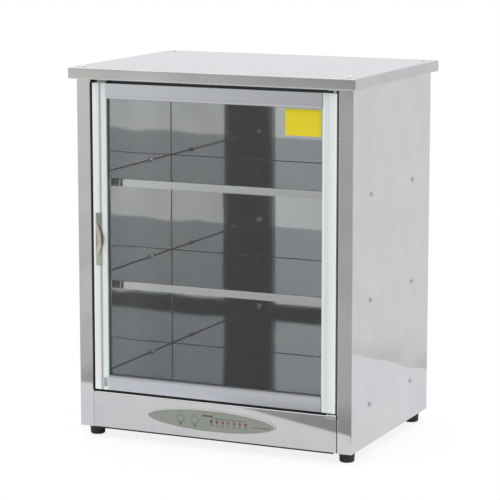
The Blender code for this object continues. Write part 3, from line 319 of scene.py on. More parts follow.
for row in frame["record"]["subparts"]:
    finish = nodeFinish.get(row["node"], slotFinish[row["material_slot"]])
    piece = nodes[row["node"]]
    piece.data.materials.clear()
    piece.data.materials.append(finishes[finish])
print("finishes set,", len(finishes), "materials")


# modelling by hand: small steps that the pieces below share

smoothBelow = math.radians(32)  # faces that meet at less than this read as one curve


def selectOnly(*pieces):
    if bpy.context.mode != "OBJECT":
        bpy.ops.object.mode_set(mode="OBJECT")
    bpy.ops.object.select_all(action="DESELECT")
    for piece in pieces:
        piece.select_set(True)
        bpy.context.view_layer.objects.active = piece


def namePiece(name):
    piece = bpy.context.object
    piece.name = name
    piece.data.name = name
    bpy.ops.object.transform_apply(location=True, rotation=True, scale=True)
    return piece


def pick(piece, kind, test):
    # leaves the piece in edit mode with only the edges or faces that pass the test selected
    selectOnly(piece)
    bpy.ops.object.mode_set(mode="EDIT")
    bpy.ops.mesh.select_mode(type=kind)
    bpy.ops.mesh.select_all(action="DESELECT")
    bpy.ops.object.mode_set(mode="OBJECT")
    corners = piece.data.vertices
    if kind == "EDGE":
        for edge in piece.data.edges:
            start, end = [corners[i].co for i in edge.vertices]
            edge.select = test((start + end) / 2, (end - start).normalized())
    if kind == "FACE":
        for face in piece.data.polygons:
            face.select = test(face.center, face.normal)
    bpy.ops.object.mode_set(mode="EDIT")


def addModifier(piece, kind, settings):
    selectOnly(piece)
    change = piece.modifiers.new(kind.lower(), kind)
    for key, value in settings.items():
        setattr(change, key, value)
    bpy.ops.object.modifier_apply(modifier=change.name)


def copyPiece(source, name):
    copy = source.copy()
    copy.data = source.data.copy()
    copy.name = name
    copy.data.name = name
    bpy.context.collection.objects.link(copy)
    return copy


def joinPieces(name, pieces):
    selectOnly(*pieces)
    bpy.ops.object.join()
    joined = bpy.context.object
    joined.name = name
    joined.data.name = name
    return joined


def setDown(piece, place, turn=upright):
    selectOnly(piece)
    piece.rotation_euler = turn
    piece.location = place
    bpy.ops.object.transform_apply(location=True, rotation=True, scale=True)
    return piece


def stand(piece, x, z, y):
    return setDown(piece, (x, y, z), (quarter, 0, 0))  # from lying flat to facing the front


def copiesOf(model, spots):
    # a copy at each place and turn, after which the model itself goes
    copies = [setDown(copyPiece(model, model.name + "Copy"), place, turn) for place, turn in spots]
    bpy.data.objects.remove(model)
    return copies


def settle(piece, body, finish, replaced=()):
    selectOnly(piece)
    bpy.ops.object.transform_apply(location=True, rotation=True, scale=True)
    bpy.ops.object.shade_smooth_by_angle(angle=smoothBelow)
    piece.data.materials.clear()
    piece.data.materials.append(finishes[finish])
    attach(piece, body)
    if replaced:
        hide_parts(*replaced)


def block(name, low, high):
    # a box between two opposite corners
    low, high = Vector(low), Vector(high)
    selectOnly()
    bpy.ops.mesh.primitive_cube_add(size=1, location=(low + high) / 2)
    bpy.context.object.scale = high - low
    return namePiece(name)


def flatSheet(name, size, thickMm, cornerMm=0, segments=5):
    # lies on z = 0 and stands up by its thickness, with its corners rounded where that is asked for
    selectOnly()
    bpy.ops.mesh.primitive_plane_add(size=1)
    bpy.context.object.scale = (*size, 1)
    sheet = namePiece(name)
    if cornerMm:
        pick(sheet, "FACE", lambda middle, normal: True)
        bpy.ops.mesh.bevel(offset=mm(cornerMm), segments=segments, affect="VERTICES")
    addModifier(sheet, "SOLIDIFY", {"thickness": mm(thickMm), "offset": 1.0})
    return sheet


def domeHead(name, look, segments=5):
    # a round head that stands on z = 0, with its upper edge rounded over
    height = mm(look["height"])
    selectOnly()
    bpy.ops.mesh.primitive_cylinder_add(vertices=look["sides"], radius=mm(look["radius"]), depth=height,
                                        location=(0, 0, height / 2))
    head = namePiece(name)
    pick(head, "EDGE", lambda middle, way: middle.z > height - hair)
    bpy.ops.mesh.bevel(offset=mm(look["round"]), segments=segments, affect="EDGES")
    selectOnly(head)
    return head


# shelf screws: cross-recess pan heads in dished washers, modelled once and copied

shelfScrew = {"headRadius": 3.6, "headHeight": 1.8, "headRound": 1.1, "shankRadius": 2.0, "shankLength": 6.0,
              "slotLength": 3.6, "slotWidth": 0.8, "slotDepth": 1.0, "turns": (12, 47, 81, 33, 66, 5),
              "washerRadius": 6.6, "washerHeight": 1.3, "washerRound": 1.1,
              "dishWidth": 2.0, "dishDepth": 0.7}


def cupWasher(name, look):
    washer = domeHead(name, {"sides": 40, "radius": look["washerRadius"], "height": look["washerHeight"],
                             "round": look["washerRound"]})
    dish = mm(look["dishWidth"])
    pick(washer, "FACE", lambda middle, normal: normal.z > facing and middle.xy.length < dish)
    bpy.ops.mesh.inset(thickness=dish)
    bpy.ops.transform.translate(value=(0, 0, -mm(look["dishDepth"])))
    selectOnly(washer)
    return washer


def panScrew(name, look):
    screw = domeHead(name, {"sides": 28, "radius": look["headRadius"], "height": look["headHeight"],
                            "round": look["headRound"]}, segments=4)
    pick(screw, "FACE", lambda middle, normal: normal.z < -facing)
    bpy.ops.mesh.inset(thickness=mm(look["headRadius"] - look["shankRadius"]))
    bpy.ops.mesh.extrude_region_move(TRANSFORM_OT_translate={"value": (0, 0, -mm(look["shankLength"]))})
    top = (0, 0, mm(look["headHeight"]))
    for turn in (0, quarter):
        selectOnly()
        bpy.ops.mesh.primitive_cube_add(size=1, location=top, rotation=(0, 0, turn))
        cutter = bpy.context.object
        cutter.scale = (mm(look["slotLength"]), mm(look["slotWidth"]), 2 * mm(look["slotDepth"]))
        addModifier(screw, "BOOLEAN", {"object": cutter, "solver": "EXACT", "operation": "DIFFERENCE"})
        bpy.data.objects.remove(cutter)
    return screw


def shelfScrews(look):
    seat = mm(look["washerHeight"] - look["dishDepth"])
    screwModel = setDown(panScrew("panScrewModel", look), (0, 0, seat))
    model = joinPieces("shelfScrewModel", [cupWasher("cupWasherModel", look), screwModel])
    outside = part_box("right_side_panel")[1].x
    for index, node in enumerate(screwNodes):
        low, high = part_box(node)
        middle = (low + high) / 2
        way = 1 if high.x > 0 else -1
        screw = copyPiece(model, node + "_cross")
        screw.location = (way * outside, middle.y, middle.z)
        turn = math.radians(look["turns"][index % len(look["turns"])])
        screw.rotation_mode = "ZYX"  # first about its own axis, then over to the side
        screw.rotation_euler = (0, way * quarter, turn)
        settle(screw, "cabinet", "screwSteel", [node])
    bpy.data.objects.remove(model)


shelfScrews(shelfScrew)
print("shelf screws placed")


# half-moon pull: a flat plate with a half-round tab that stands out on its round side for the fingers

pull = {"foot": 15.5, "plate": 1.2, "width": 12, "corner": 1.5, "plateEdge": 0.3, "rows": 56, "columns": 10,
        "reach": 15.2, "reachCurve": 0.8, "rise": 7.6, "riseCurve": 1.2, "sheet": 5.4, "edge": 2.4,
        "tip": 0.05, "sink": 0.3, "paintedShadeFrom": -0.74}


def halfMoonPull(look):
    low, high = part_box("door_handle")
    length = high.z - low.z
    middle = (low + high) / 2
    width = mm(look["width"])
    plate = flatSheet("pullPlate", (width, length), look["plate"], look["corner"], segments=4)
    addModifier(plate, "BEVEL", {"width": mm(look["plateEdge"]), "segments": 2, "limit_method": "ANGLE"})
    settle(stand(plate, low.x + width / 2, middle.z, high.y), "door", "nickel")
    selectOnly()
    bpy.ops.mesh.primitive_grid_add(x_subdivisions=look["columns"], y_subdivisions=look["rows"], size=1,
                                    rotation=(quarter, 0, 0))
    tab = namePiece("halfMoonPull")
    for corner in tab.data.vertices:
        along = corner.co.z + 0.5  # both from 0 to 1 over the grid
        across = corner.co.x + 0.5
        moon = max(math.sin(math.pi * along), look["tip"])
        corner.co.x = mm(look["reach"]) * across * moon ** look["reachCurve"]
        corner.co.y = -mm(look["rise"]) * math.sin(across * quarter) * moon ** look["riseCurve"]
        corner.co.z *= length - 2 * mm(look["foot"])
    addModifier(tab, "SOLIDIFY", {"thickness": mm(look["sheet"]), "offset": -1.0})
    addModifier(tab, "BEVEL", {"width": mm(look["edge"]), "segments": 3, "limit_method": "ANGLE"})
    tab.location = (low.x, high.y - mm(look["plate"] - look["sink"]), middle.z)
    settle(tab, "door", "paintedLitNickel", ["door_handle"])
    tab.data.materials.append(finishes["paintedShadeNickel"])  # painted shade: faces turned away from the front, on the edge and the inside of the tab, take the dark copy of the nickel
    for face in tab.data.polygons:
        face.material_index = int(face.normal.y > look["paintedShadeFrom"])


halfMoonPull(pull)
print("pull modelled")


# seams in the corners of the chamber, with dark strips of painted shade in the gaps along the shelf edges,
# and round buttons over the shelf fixings, tilted towards the door

chamberSeam = {"width": 1.5, "weldWidth": 0.9, "cove": 0.72, "hollow": 0.3, "wallX": 268.4, "backY": 190.0,
               "frontGap": 8, "behindLampY": -112}
pinCap = {"radius": 2.8, "height": 3.4, "round": 0.5, "sides": 28, "tilt": (0.55, -0.72, 0.42),
          "out": 0.6, "up": 1.0}


def cornerBeads(look, widthMm, runs):
    # each bead starts along +X with a wall on its +Y side and a plate under it, and is then turned into place
    width = mm(widthMm)
    beads = []
    for length, place, turn in runs:
        bead = block("cornerBead", (0, -width, 0), (length, 0, width))
        pick(bead, "EDGE", lambda middle, way: middle.y < hair - width and middle.z > width - hair)
        bpy.ops.mesh.bevel(offset=width * look["cove"], segments=4, profile=look["hollow"], affect="EDGES")
        beads.append(setDown(bead, place, turn))
    return beads


def chamberSeams(look, cap):
    wall = mm(look["wallX"])
    back = mm(look["backY"])
    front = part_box("lower_shelf")[0].y + mm(look["frontGap"])
    levels = [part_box(name)[1].z for name in ("chamber_floor", "lower_shelf", "upper_shelf")]
    tops = [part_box(name)[0].z for name in ("lower_shelf", "upper_shelf", "ceiling_panel")]
    paintedGapShade = []
    welds = []
    for level, top in zip(levels, tops):
        height = top - level - mm(look["width"])
        paintedGapShade += [(back - front, (-wall, front, level), (0, 0, quarter)),
                    (back - mm(look["behindLampY"]), (wall, back, level), (0, 0, -quarter))]
        welds += [(2 * wall, (-wall, back, level), upright),
                  (height, (-wall, back, top), (0, quarter, 0)),
                  (height, (wall, back, top - height), (0, -quarter, 0))]
    # dark strips along the side edges of each shelf: painted shade in the gaps there
    beads = cornerBeads(look, look["width"], paintedGapShade)
    settle(joinPieces("chamberGapShade", beads), "cabinet", "paintedGapShade")
    seams = cornerBeads(look, look["weldWidth"], welds)
    settle(joinPieces("chamberWelds", seams), "cabinet", "groundSeam")
    across, along, up = cap["tilt"]
    spots = []
    for node in screwNodes:
        low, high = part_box(node)
        way = 1 if high.x > 0 else -1
        level = min(levels, key=lambda z: abs(z - high.z))
        place = (way * (wall - mm(cap["out"])), (low.y + high.y) / 2, level + mm(cap["up"]))
        turn = Vector((-way * across, along, up)).to_track_quat("Z", "Y").to_euler()
        spots.append((place, turn))
    caps = copiesOf(domeHead("pinCap", cap), spots)
    settle(joinPieces("shelfPinCaps", caps), "cabinet", "capSteel")


chamberSeams(chamberSeam, pinCap)
print("chamber seams run")


# control panel: raised rim, button rings and generic print
# a button's sign is a ring, whose size comes first, with bars
# a bar is given by its place across and up from the middle, then its width and height

panelPrint = {"face": -194.3, "thick": 0.05, "rimWidth": 2.4, "rimHeight": 2.0, "rimGap": 0.3,
              "rimRound": 0.5, "rimSunk": 0.3, "ringWidth": 0.4, "ringPlay": 0.4,
              "signDrop": 10.6, "signWidth": 0.8,
              "signs": {"power_button": (5, ((0, 2.2, 0.9, 3),)),
                        "timer_button": (5.2, ((0, 0.9, 0.7, 2), (0.6, 0, 1.8, 0.7)))},
              "lampSign": ((-9, 9.4, 15, 2.2), (-18, 9.4, 2.2, 4), (0, 9.4, 2.2, 4)),
              "panelLine": ((97, -2.5, 34, 1.1),), "lightEnd": 5, "ruleHeight": 0.9, "ruleRise": 6.2,
              "tick": (0.45, 1.8), "tickRise": 5.4, "numeralSize": 4.6, "numeralDrop": 6.8,
              "numerals": ("ON", "10", "20", "30", "40", "50", "60")}


def flatRing(name, size, widthMm, thickMm):
    # an oval ring that lies on z = 0 and stands up by its thickness
    selectOnly()
    bpy.ops.mesh.primitive_circle_add(vertices=96, radius=1, fill_type="NGON")
    bpy.context.object.scale = (size[0] / 2, size[1] / 2, 1)
    ring = namePiece(name)
    pick(ring, "FACE", lambda middle, normal: True)
    bpy.ops.mesh.inset(thickness=mm(widthMm))
    bpy.ops.mesh.delete(type="FACE")
    addModifier(ring, "SOLIDIFY", {"thickness": mm(thickMm), "offset": 1.0})
    return ring


def numeral(words, look):
    selectOnly()
    bpy.ops.object.text_add()
    text = bpy.context.object
    text.data.body = words
    text.data.size = mm(look["numeralSize"])
    text.data.align_x = "CENTER"
    text.data.align_y = "CENTER"
    text.data.extrude = mm(look["thick"]) / 2
    bpy.ops.object.convert(target="MESH")
    return bpy.context.object


def controlPanel(look):
    low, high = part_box("control_overlay")
    middle = (low + high) / 2
    face = mm(look["face"])
    thick = look["thick"]
    grown = 2 * mm(look["rimWidth"] + look["rimGap"])
    size = (high.x - low.x + grown, high.z - low.z + grown)
    rim = flatRing("panelRim", size, look["rimWidth"], look["rimHeight"])
    addModifier(rim, "BEVEL", {"width": mm(look["rimRound"]), "segments": 3, "limit_method": "ANGLE"})
    stand(rim, middle.x, middle.z, high.y + mm(look["rimSunk"]))
    settle(rim, "cabinet", "rim")
    marks = []
    bars = [(0, middle.z, look["lampSign"]), (0, middle.z, look["panelLine"])]
    for node, (signMm, signBars) in look["signs"].items():  # a ring round each button, and its sign below
        left, right = [corner.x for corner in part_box(node)]
        x = (left + right) / 2
        z = middle.z - mm(look["signDrop"])
        across = right - left + 2 * mm(look["ringPlay"] + look["ringWidth"])
        ring = flatRing("buttonRing", (across, across), look["ringWidth"], thick)
        sign = flatRing("buttonSign", (mm(signMm), mm(signMm)), look["signWidth"], thick)
        marks += [stand(ring, x, middle.z, face), stand(sign, x, z, face)]
        bars.append((x, z, signBars))
    for x, z, group in bars:
        for over, up, width, height in group:
            bar = flatSheet("printedBar", (mm(width), mm(height)), thick)
            marks.append(stand(bar, x + mm(over), z + mm(up), face))
    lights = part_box("indicator_light_bar")
    start = lights[0].x + mm(look["lightEnd"])
    span = lights[1].x - mm(look["lightEnd"]) - start
    rule = flatSheet("timerRule", (span, mm(look["ruleHeight"])), thick)
    marks.append(stand(rule, start + span / 2, middle.z + mm(look["ruleRise"]), face))
    tick = flatSheet("timerTick", [mm(side) for side in look["tick"]], thick)
    spots = []
    for index, words in enumerate(look["numerals"]):
        x = start + index * span / (len(look["numerals"]) - 1)
        spots.append(((x, face, middle.z + mm(look["tickRise"])), (quarter, 0, 0)))
        marks.append(stand(numeral(words, look), x, middle.z - mm(look["numeralDrop"]), face))
    marks += copiesOf(tick, spots)
    settle(joinPieces("panelPrint", marks), "cabinet", "ink")


controlPanel(panelPrint)
print("control panel printed")


# plain yellow film in the upper corner of the glass

glassFilm = {"left": 139.0, "right": 206.5, "bottom": 579.0, "top": 626.0, "corner": 1.5, "thick": 0.12,
             "gap": 0.02}


def cornerFilm(look):
    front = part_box("door_glass")[0].y - mm(look["gap"])
    size = (mm(look["right"] - look["left"]), mm(look["top"] - look["bottom"]))
    film = flatSheet("glassFilm", size, look["thick"], look["corner"])
    stand(film, mm(look["left"] + look["right"]) / 2, mm(look["bottom"] + look["top"]) / 2, front)
    settle(film, "door", "yellowFilm")


cornerFilm(glassFilm)
print("glass film stuck on")


# dished end stop of the glazing bead, at the foot of the left stile

beadStop = {"width": 6.4, "height": 17.5, "thick": 1.2, "corner": 2.2, "rim": 1.2, "dish": 0.35,
            "place": (-216.8, -191.3, 106.2), "slope": 10.4}


def beadEnd(look):
    width = mm(look["width"])
    height = mm(look["height"])
    stop = block("beadStop", (-width / 2, -height / 2, 0), (width / 2, height / 2, mm(look["thick"])))
    pick(stop, "EDGE", lambda middle, way: abs(way.z) > facing)
    bpy.ops.mesh.bevel(offset=mm(look["corner"]), segments=6, affect="EDGES")
    pick(stop, "FACE", lambda middle, normal: normal.z > facing)
    bpy.ops.mesh.inset(thickness=mm(look["rim"]))
    bpy.ops.transform.translate(value=(0, 0, -mm(look["dish"])))
    setDown(stop, [mm(part) for part in look["place"]], (quarter, 0, math.radians(look["slope"])))
    settle(stop, "door", "zinc")


beadEnd(beadStop)
print("bead stopped")


# top panel: a pan folded from one sheet, with rounded bends, and small white plugs over its fixing screws

foldedPan = {"bend": 3.0, "segments": 6, "fold": 36, "sheet": 1.0}
slabPlug = {"radius": 3.8, "height": 2.8, "round": 1.8, "sides": 28, "insetX": 22, "insetY": 24}


def foldedTop(look):
    low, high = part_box("top_panel")
    pan = block("foldedTop", low, high)

    def onOutside(middle, way):
        return max(middle.z - high.z, abs(middle.x) - high.x, abs(middle.y) - high.y) > -hair

    pick(pan, "FACE", lambda middle, normal: normal.z < -facing)
    bpy.ops.mesh.inset(thickness=mm(look["fold"]))
    bpy.ops.mesh.delete(type="FACE")
    pick(pan, "EDGE", onOutside)
    bpy.ops.mesh.bevel(offset=mm(look["bend"]), segments=look["segments"], affect="EDGES")
    addModifier(pan, "SOLIDIFY", {"thickness": mm(look["sheet"]), "offset": -1.0})
    settle(pan, "cabinet", "topSheet", ["top_panel"])
    addModifier(pan, "WEIGHTED_NORMAL", {"keep_sharp": True})  # keeps the flats flat beside the bends


def slabPlugs(look):
    low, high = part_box("top_panel")
    spots = []
    for x in (low.x + mm(look["insetX"]), high.x - mm(look["insetX"])):
        for y in (low.y + mm(look["insetY"]), high.y - mm(look["insetY"])):
            spots.append(((x, y, high.z), upright))
    plugs = copiesOf(domeHead("slabPlug", look), spots)
    settle(joinPieces("slabPlugs", plugs), "cabinet", "nylon")


foldedTop(foldedPan)
slabPlugs(slabPlug)
print("top panel folded and plugged")


# black strips: a seal down the left jamb, and under the front fascia a strip of painted shade along the
# case's lower edge

jambSeal = {"width": 2.0, "proud": 0.5, "depth": 3.0, "round": 0.4, "gap": 2}
baseShadeStrip = {"height": 1.6, "proud": 0.3, "depth": 3.0, "round": 0.4, "short": 6}


def blackStrip(name, low, high, look):
    strip = block(name, low, high)
    pick(strip, "EDGE", lambda middle, way: middle.y < low[1] + hair)
    bpy.ops.mesh.bevel(offset=mm(look["round"]), segments=3, affect="EDGES")
    settle(strip, "cabinet", "rubber")


def blackStrips(jamb, base):
    low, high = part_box("door_left_stile")
    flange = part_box("left_side_panel")[0].y
    gap = mm(jamb["gap"])
    blackStrip("leftJambSeal",
               (low.x - gap - mm(jamb["width"]), flange - mm(jamb["proud"]), low.z - gap),
               (low.x - gap, flange + mm(jamb["depth"]), high.z), jamb)
    # painted shade: a black strip where the fascia's lower edge meets the shade under the case
    low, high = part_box("front_fascia")
    short = mm(base["short"])
    blackStrip("baseShadeStrip",
               (low.x + short, low.y - mm(base["proud"]), low.z - mm(base["height"])),
               (high.x - short, low.y + mm(base["depth"]), low.z), base)


blackStrips(jambSeal, baseShadeStrip)
print("black strips laid")


# back: screws in the rear flanges, and louvres pressed into the panel behind the electrical bay

backFixing = {"flangeX": 262.5, "levels": (62, 202, 342, 482, 622), "turns": (20, 71, 38, 4, 55),
              "headRadius": 3.2, "headHeight": 1.6, "headRound": 1.0, "shankRadius": 1.6, "shankLength": 3.0,
              "slotLength": 3.2, "slotWidth": 0.7, "slotDepth": 0.9}
louvre = {"length": 62, "height": 7.5, "depth": 3.2, "round": 2.8, "endRound": 1.6, "lip": 0.5, "cut": 2.4,
          "columns": (-165, -90), "lowest": 34, "pitch": 12, "rows": 4}


def backScrews(look):
    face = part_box("left_side_panel")[1].y
    spots = []
    for side in (-1, 1):
        for level, turn in zip(look["levels"], look["turns"]):
            place = (side * mm(look["flangeX"]), face, mm(level))
            spots.append((place, (-quarter, math.radians(turn), 0)))
    screws = copiesOf(panScrew("backScrew", look), spots)
    settle(joinPieces("backScrews", screws), "cabinet", "screwSteel")


def backLouvres(look):
    length = mm(look["length"])
    height = mm(look["height"])
    depth = mm(look["depth"])
    model = block("louvreModel", (-length / 2, 0, 0), (length / 2, depth, height))
    pick(model, "EDGE", lambda middle, way: middle.y > depth - hair and middle.z > height - hair)
    bpy.ops.mesh.bevel(offset=mm(look["round"]), segments=6, affect="EDGES")  # the hood
    pick(model, "EDGE", lambda middle, way: abs(middle.x) > length / 2 - hair and middle.y > hair)
    bpy.ops.mesh.bevel(offset=mm(look["endRound"]), segments=4, affect="EDGES")
    pick(model, "FACE", lambda middle, normal: normal.z < -facing)
    bpy.ops.mesh.inset(thickness=mm(look["lip"]))
    bpy.ops.mesh.extrude_region_move(TRANSFORM_OT_translate={"value": (0, 0, mm(look["cut"]))})  # the slot
    selectOnly(model)
    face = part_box("back_panel")[1].y
    levels = [mm(look["lowest"] + row * look["pitch"]) for row in range(look["rows"])]
    hoods = copiesOf(model, [((mm(x), face, level), upright) for x in look["columns"] for level in levels])
    settle(joinPieces("backLouvres", hoods), "cabinet", "caseSheet")


backScrews(backFixing)
backLouvres(louvre)
print("back fitted")


# mains inlet: flat pins in its recess and two small screws in its flange

inletFit = {"pinWidth": 2.0, "pinHeight": 4.0, "pinLength": 13, "pinRound": 0.7, "floor": 1.6,
            "pins": ((-7, -1.8), (7, -1.8), (0, 2.2)), "screwOut": 14.8, "screwTurn": 0.6,
            "headRadius": 2.1, "headHeight": 0.9, "headRound": 0.6, "shankRadius": 1.2, "shankLength": 1.5,
            "slotLength": 2.4, "slotWidth": 0.5, "slotDepth": 0.5}


def inletPins(look):
    low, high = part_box("power_inlet")
    middle = (low + high) / 2
    width = mm(look["pinWidth"])
    height = mm(look["pinHeight"])
    length = mm(look["pinLength"])
    model = block("inletPinModel", (-width / 2, 0, -height / 2), (width / 2, length, height / 2))
    pick(model, "EDGE", lambda middle, way: middle.y > length - hair)
    bpy.ops.mesh.bevel(offset=mm(look["pinRound"]), segments=3, affect="EDGES")
    selectOnly(model)
    floor = low.y + mm(look["floor"])
    metal = copiesOf(model, [((middle.x + mm(x), floor, middle.z + mm(z)), upright) for x, z in look["pins"]])
    spots = []
    for side in (-1, 1):
        place = (middle.x + side * mm(look["screwOut"]), high.y, middle.z)
        spots.append((place, (-quarter, side * look["screwTurn"], 0)))
    metal += copiesOf(panScrew("inletScrew", look), spots)
    settle(joinPieces("inletPins", metal), "cabinet", "screwSteel")


inletPins(inletFit)
print("inlet pinned")


# germicidal lamp: a clear quartz tube between two pinned caps, with a filament at each end

lampTube = {"glassRadius": 12.4, "wall": 1.1, "tuck": 5, "pinSpacing": 12.7, "postSpacing": 7,
            "cap": {"sides": 48, "radius": 12.8, "height": 18, "round": 1.2},
            "pin": {"sides": 16, "radius": 1.2, "height": 7, "round": 0.5},
            "post": {"sides": 10, "radius": 0.5, "height": 20, "round": 0.2},
            "coil": {"sides": 16, "radius": 1.0, "height": 10, "round": 0.3}}


def lampCap(look):
    # stands on z = 0 with its pins below it and its filament above it
    capTop = mm(look["cap"]["height"])
    pieces = [domeHead("lampCapModel", look["cap"])]
    for side in (-1, 1):
        pin = domeHead("lampPin", look["pin"])
        pieces.append(setDown(pin, (0, side * mm(look["pinSpacing"]) / 2, 0), (math.pi, 0, 0)))
        post = domeHead("filamentPost", look["post"])
        pieces.append(setDown(post, (0, side * mm(look["postSpacing"]) / 2, capTop)))
    coil = domeHead("filamentCoil", look["coil"])
    place = (0, mm(look["coil"]["height"]) / 2, capTop + mm(look["post"]["height"]))
    pieces.append(setDown(coil, place, (quarter, 0, 0)))
    return joinPieces("lampCapModel", pieces)


def germicidalLamp(look):
    low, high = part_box("uv_lamp")
    middle = (low + high) / 2
    bottom = low.z + mm(look["pin"]["height"])
    top = high.z - mm(look["pin"]["height"])
    glass = top - bottom - 2 * mm(look["cap"]["height"] - look["tuck"])
    selectOnly()
    bpy.ops.mesh.primitive_cylinder_add(vertices=64, radius=mm(look["glassRadius"]), depth=glass,
                                        end_fill_type="NOTHING", location=middle)
    tube = namePiece("lampTube")
    addModifier(tube, "SOLIDIFY", {"thickness": mm(look["wall"]), "offset": -1.0})
    settle(tube, "cabinet", "quartz", ["uv_lamp"])
    lower = lampCap(look)
    upper = copyPiece(lower, "upperLampCap")
    caps = [setDown(lower, (middle.x, middle.y, bottom)),
            setDown(upper, (middle.x, middle.y, top), (math.pi, 0, 0))]
    settle(joinPieces("lampCaps", caps), "cabinet", "brightAluminium")


germicidalLamp(lampTube)
print("lamp fitted")


# camera, from the photograph's vanishing lines

photoCamera = {"place": (1.7166, -3.8106, 1.0493), "pitch": 9.667, "yaw": 24.412,
               "focalPx": 2280.4, "framePx": 500, "sensorMm": 36}
bpy.ops.object.camera_add(
    location=photoCamera["place"],
    rotation=(math.radians(90 - photoCamera["pitch"]), 0, math.radians(photoCamera["yaw"])))
camera = bpy.context.object
camera.name = "photoCamera"
camera.data.sensor_width = photoCamera["sensorMm"]
camera.data.lens = photoCamera["focalPx"] / photoCamera["framePx"] * camera.data.sensor_width
bpy.context.scene.camera = camera


# studio: a white table top in a pale grey room, as the polished sheet mirrors them
# each edge of the table is given by its turn from straight ahead in degrees, and its distance from the middle

studio = {"side": 2.6, "back": 1.0,
          "edges": ((0, 0.55), (photoCamera["yaw"], 0.43), (photoCamera["yaw"] + 180, 0.37)),
          "top": "#f4f4f4", "mirroredTop": "#f6f6fb", "glow": 0.85,
          "shade": {"X": (0.24, 0.28), "Y": (0.163, 0.203)}}
# the room's tones run from straight down at 0 over the horizon at 0.5 to straight up at 1
studioRoom = {
    "front": [(0.30, "#f0f0f0"), (0.362, "#d8d8d7"), (0.37, "#a0a1a3"), (0.379, "#a0a1a3"),
              (0.386, "#c3c3c2"), (0.40, "#c4c4c3"), (0.44, "#bfbfbe"), (0.46, "#b4b4b3"),
              (0.56, "#c6c6c8"), (0.85, "#eeeeee")],
    "back": [(0.3885, "#f2f2f3"), (0.3905, "#d6d6d8"), (0.393, "#d9d9db"), (0.3955, "#e6e6e8"),
             (0.398, "#f2f2f3"), (0.55, "#f4f3f7"), (0.9, "#ffffff")],
    # how much lighter it is to both sides, and a pale upright strip, from left to right over its own width
    "gain": [(0.395, "#818181"), (0.455, "#e7e7e7"), (0.485, "#e7e7e7"), (0.54, "#000000")],
    "window": [(0.1, "#bcbcbc"), (0.28, "#b3b3b3"), (0.48, "#d2d2d2"), (0.66, "#b6b6b6"), (0.9, "#bcbcbc")],
}
softboxes = {
    "keySoftbox": {"place": (-1.6, -2.4, 2.6), "aim": (0, 0, 0.35), "size": (1.6, 1.2), "watts": 26},
    "fillSoftbox": {"place": (2.4, -1.0, 1.8), "aim": (0, 0, 0.35), "size": (1.4, 1.4), "watts": 12},
}
white = (1, 1, 1, 1)
mixFrom, mixTo, mixOut = 6, 7, 2  # the colour sockets of a Mix node, whose names aren't unique


def whiteTable(look):
    selectOnly()
    bpy.ops.mesh.primitive_plane_add(size=2 * look["side"], location=(0, look["back"] - look["side"], 0))
    table = namePiece("whiteTable")
    for turn, reach in look["edges"]:  # where the table ends, in front and behind
        ahead = Vector((math.sin(math.radians(turn)), -math.cos(math.radians(turn)), 0))
        pick(table, "FACE", lambda middle, normal: True)
        bpy.ops.mesh.bisect(plane_co=ahead * reach, plane_no=ahead, clear_outer=True)
    selectOnly(table)
    material, tree, shader, place = newMaterial("white table laminate")
    setShader(shader, {"Base Color": hexColour(look["top"]), "Roughness": 0.7})
    path = addNode(tree, "ShaderNodeLightPath")
    axes = addNode(tree, "ShaderNodeSeparateXYZ", None, {"Vector": place})
    clear = []
    for axis, (inside, outside) in look["shade"].items():  # dark under the case in reflections
        out = addNode(tree, "ShaderNodeMath", {"operation": "ABSOLUTE"}, {0: axes.outputs[axis]})
        part = addNode(tree, "ShaderNodeMapRange", {"From Min": inside, "From Max": outside},
                       {"Value": out.outputs["Value"]})
        clear.append(part.outputs["Result"])
    shade = addNode(tree, "ShaderNodeMath", {"operation": "MAXIMUM"}, dict(enumerate(clear)))
    mirrored = addNode(tree, "ShaderNodeMath", {"operation": "MULTIPLY"},
                       {0: path.outputs["Is Glossy Ray"], 1: shade.outputs["Value"]})
    seen = addNode(tree, "ShaderNodeMath", {"operation": "MAXIMUM"},
                   {0: path.outputs["Is Camera Ray"], 1: mirrored.outputs["Value"]})
    through = addNode(tree, "ShaderNodeMath", {"operation": "MAXIMUM"},
                      {0: seen.outputs["Value"], 1: path.outputs["Is Transmission Ray"]})
    share = addNode(tree, "ShaderNodeMath", {"operation": "MULTIPLY", 1: look["glow"]},
                    {0: through.outputs["Value"]})
    tone = addNode(tree, "ShaderNodeMix",
                   {"data_type": "RGBA", mixFrom: hexColour(look["mirroredTop"]), mixTo: white},
                   {"Factor": path.outputs["Is Camera Ray"]})
    glow = addNode(tree, "ShaderNodeEmission", {"Strength": 1.0}, {"Color": tone.outputs[mixOut]})
    mixed = addNode(tree, "ShaderNodeMixShader", None,
                    {0: share.outputs["Value"], 1: shader.outputs["BSDF"], 2: glow.outputs["Emission"]})
    tree.links.new(mixed.outputs["Shader"], tree.nodes["Material Output"].inputs["Surface"])
    table.data.materials.append(material)


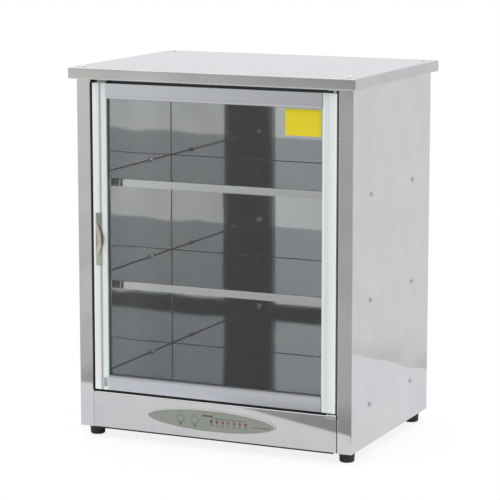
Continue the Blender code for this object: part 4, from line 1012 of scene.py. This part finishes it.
def studioWorld(look):
    world = bpy.data.worlds.new("studioWorld")
    world.use_nodes = True
    bpy.context.scene.world = world
    tree = world.node_tree
    way = addNode(tree, "ShaderNodeTexCoord").outputs["Generated"]
    axes = addNode(tree, "ShaderNodeSeparateXYZ", None, {"Vector": way})
    height = addNode(tree, "ShaderNodeMapRange", {"From Min": -1.0, "From Max": 1.0},
                     {"Value": axes.outputs["Z"]})
    across = addNode(tree, "ShaderNodeMapRange", {"From Min": -0.48, "From Max": -0.42},
                     {"Value": axes.outputs["X"]})
    tones = {}
    for part, stops in look.items():
        source = across if part == "window" else height
        tone = addNode(tree, "ShaderNodeValToRGB", None, {"Fac": source.outputs["Result"]})
        setRamp(tone, stops)
        tones[part] = tone.outputs["Color"]
    aside = addNode(tree, "ShaderNodeMath", {"operation": "ABSOLUTE"}, {0: axes.outputs["X"]})
    beside = addNode(tree, "ShaderNodeMapRange", {"From Min": 0.36, "From Max": 0.48},
                     {"Value": aside.outputs["Value"]})
    even = addNode(tree, "ShaderNodeMath", {"operation": "MULTIPLY", 1: 2.0},  # half grey changes nothing
                   {0: tones["window"]})
    lift = addNode(tree, "ShaderNodeMath", {"operation": "MULTIPLY_ADD"},
                   {0: beside.outputs["Result"], 1: tones["gain"], 2: even.outputs["Value"]})
    lit = addNode(tree, "ShaderNodeVectorMath", {"operation": "SCALE"},
                  {"Vector": tones["front"], "Scale": lift.outputs["Value"]})
    ceiling = addNode(tree, "ShaderNodeMapRange",  # a lit ceiling panel right above
                      {"From Min": 0.6, "From Max": 0.85, "To Min": 1.0, "To Max": 1.7},
                      {"Value": axes.outputs["Z"]})
    side = addNode(tree, "ShaderNodeMapRange",  # from the room behind the camera to the backdrop
                   {"From Min": -0.35, "From Max": 0.15, "interpolation_type": "SMOOTHSTEP"},
                   {"Value": axes.outputs["Y"]})
    room = addNode(tree, "ShaderNodeMix", {"data_type": "RGBA"},
                   {"Factor": side.outputs["Result"], mixFrom: lit.outputs["Vector"], mixTo: tones["back"]})
    bright = addNode(tree, "ShaderNodeVectorMath", {"operation": "SCALE"},
                     {"Vector": room.outputs[mixOut], "Scale": ceiling.outputs["Result"]})
    path = addNode(tree, "ShaderNodeLightPath")
    seen = addNode(tree, "ShaderNodeMix", {"data_type": "RGBA", mixTo: white},
                   {"Factor": path.outputs["Is Camera Ray"], mixFrom: bright.outputs["Vector"]})
    sky = tree.nodes["Background"]
    tree.links.new(seen.outputs[mixOut], sky.inputs["Color"])
    sky.inputs["Strength"].default_value = 1.0


def softbox(name, look):
    bpy.ops.object.light_add(type="AREA", location=look["place"])
    lamp = bpy.context.object
    lamp.name = name
    lamp.data.shape = "RECTANGLE"
    lamp.data.size, lamp.data.size_y = look["size"]
    lamp.data.energy = look["watts"]
    aim = Vector(look["aim"]) - Vector(look["place"])
    lamp.rotation_euler = aim.to_track_quat("-Z", "Y").to_euler()
    lamp.visible_glossy = False
    lamp.visible_transmission = False


whiteTable(studio)
studioWorld(studioRoom)
for name, look in softboxes.items():
    softbox(name, look)
bpy.context.scene.view_settings.view_transform = "Standard"
print("studio lit")
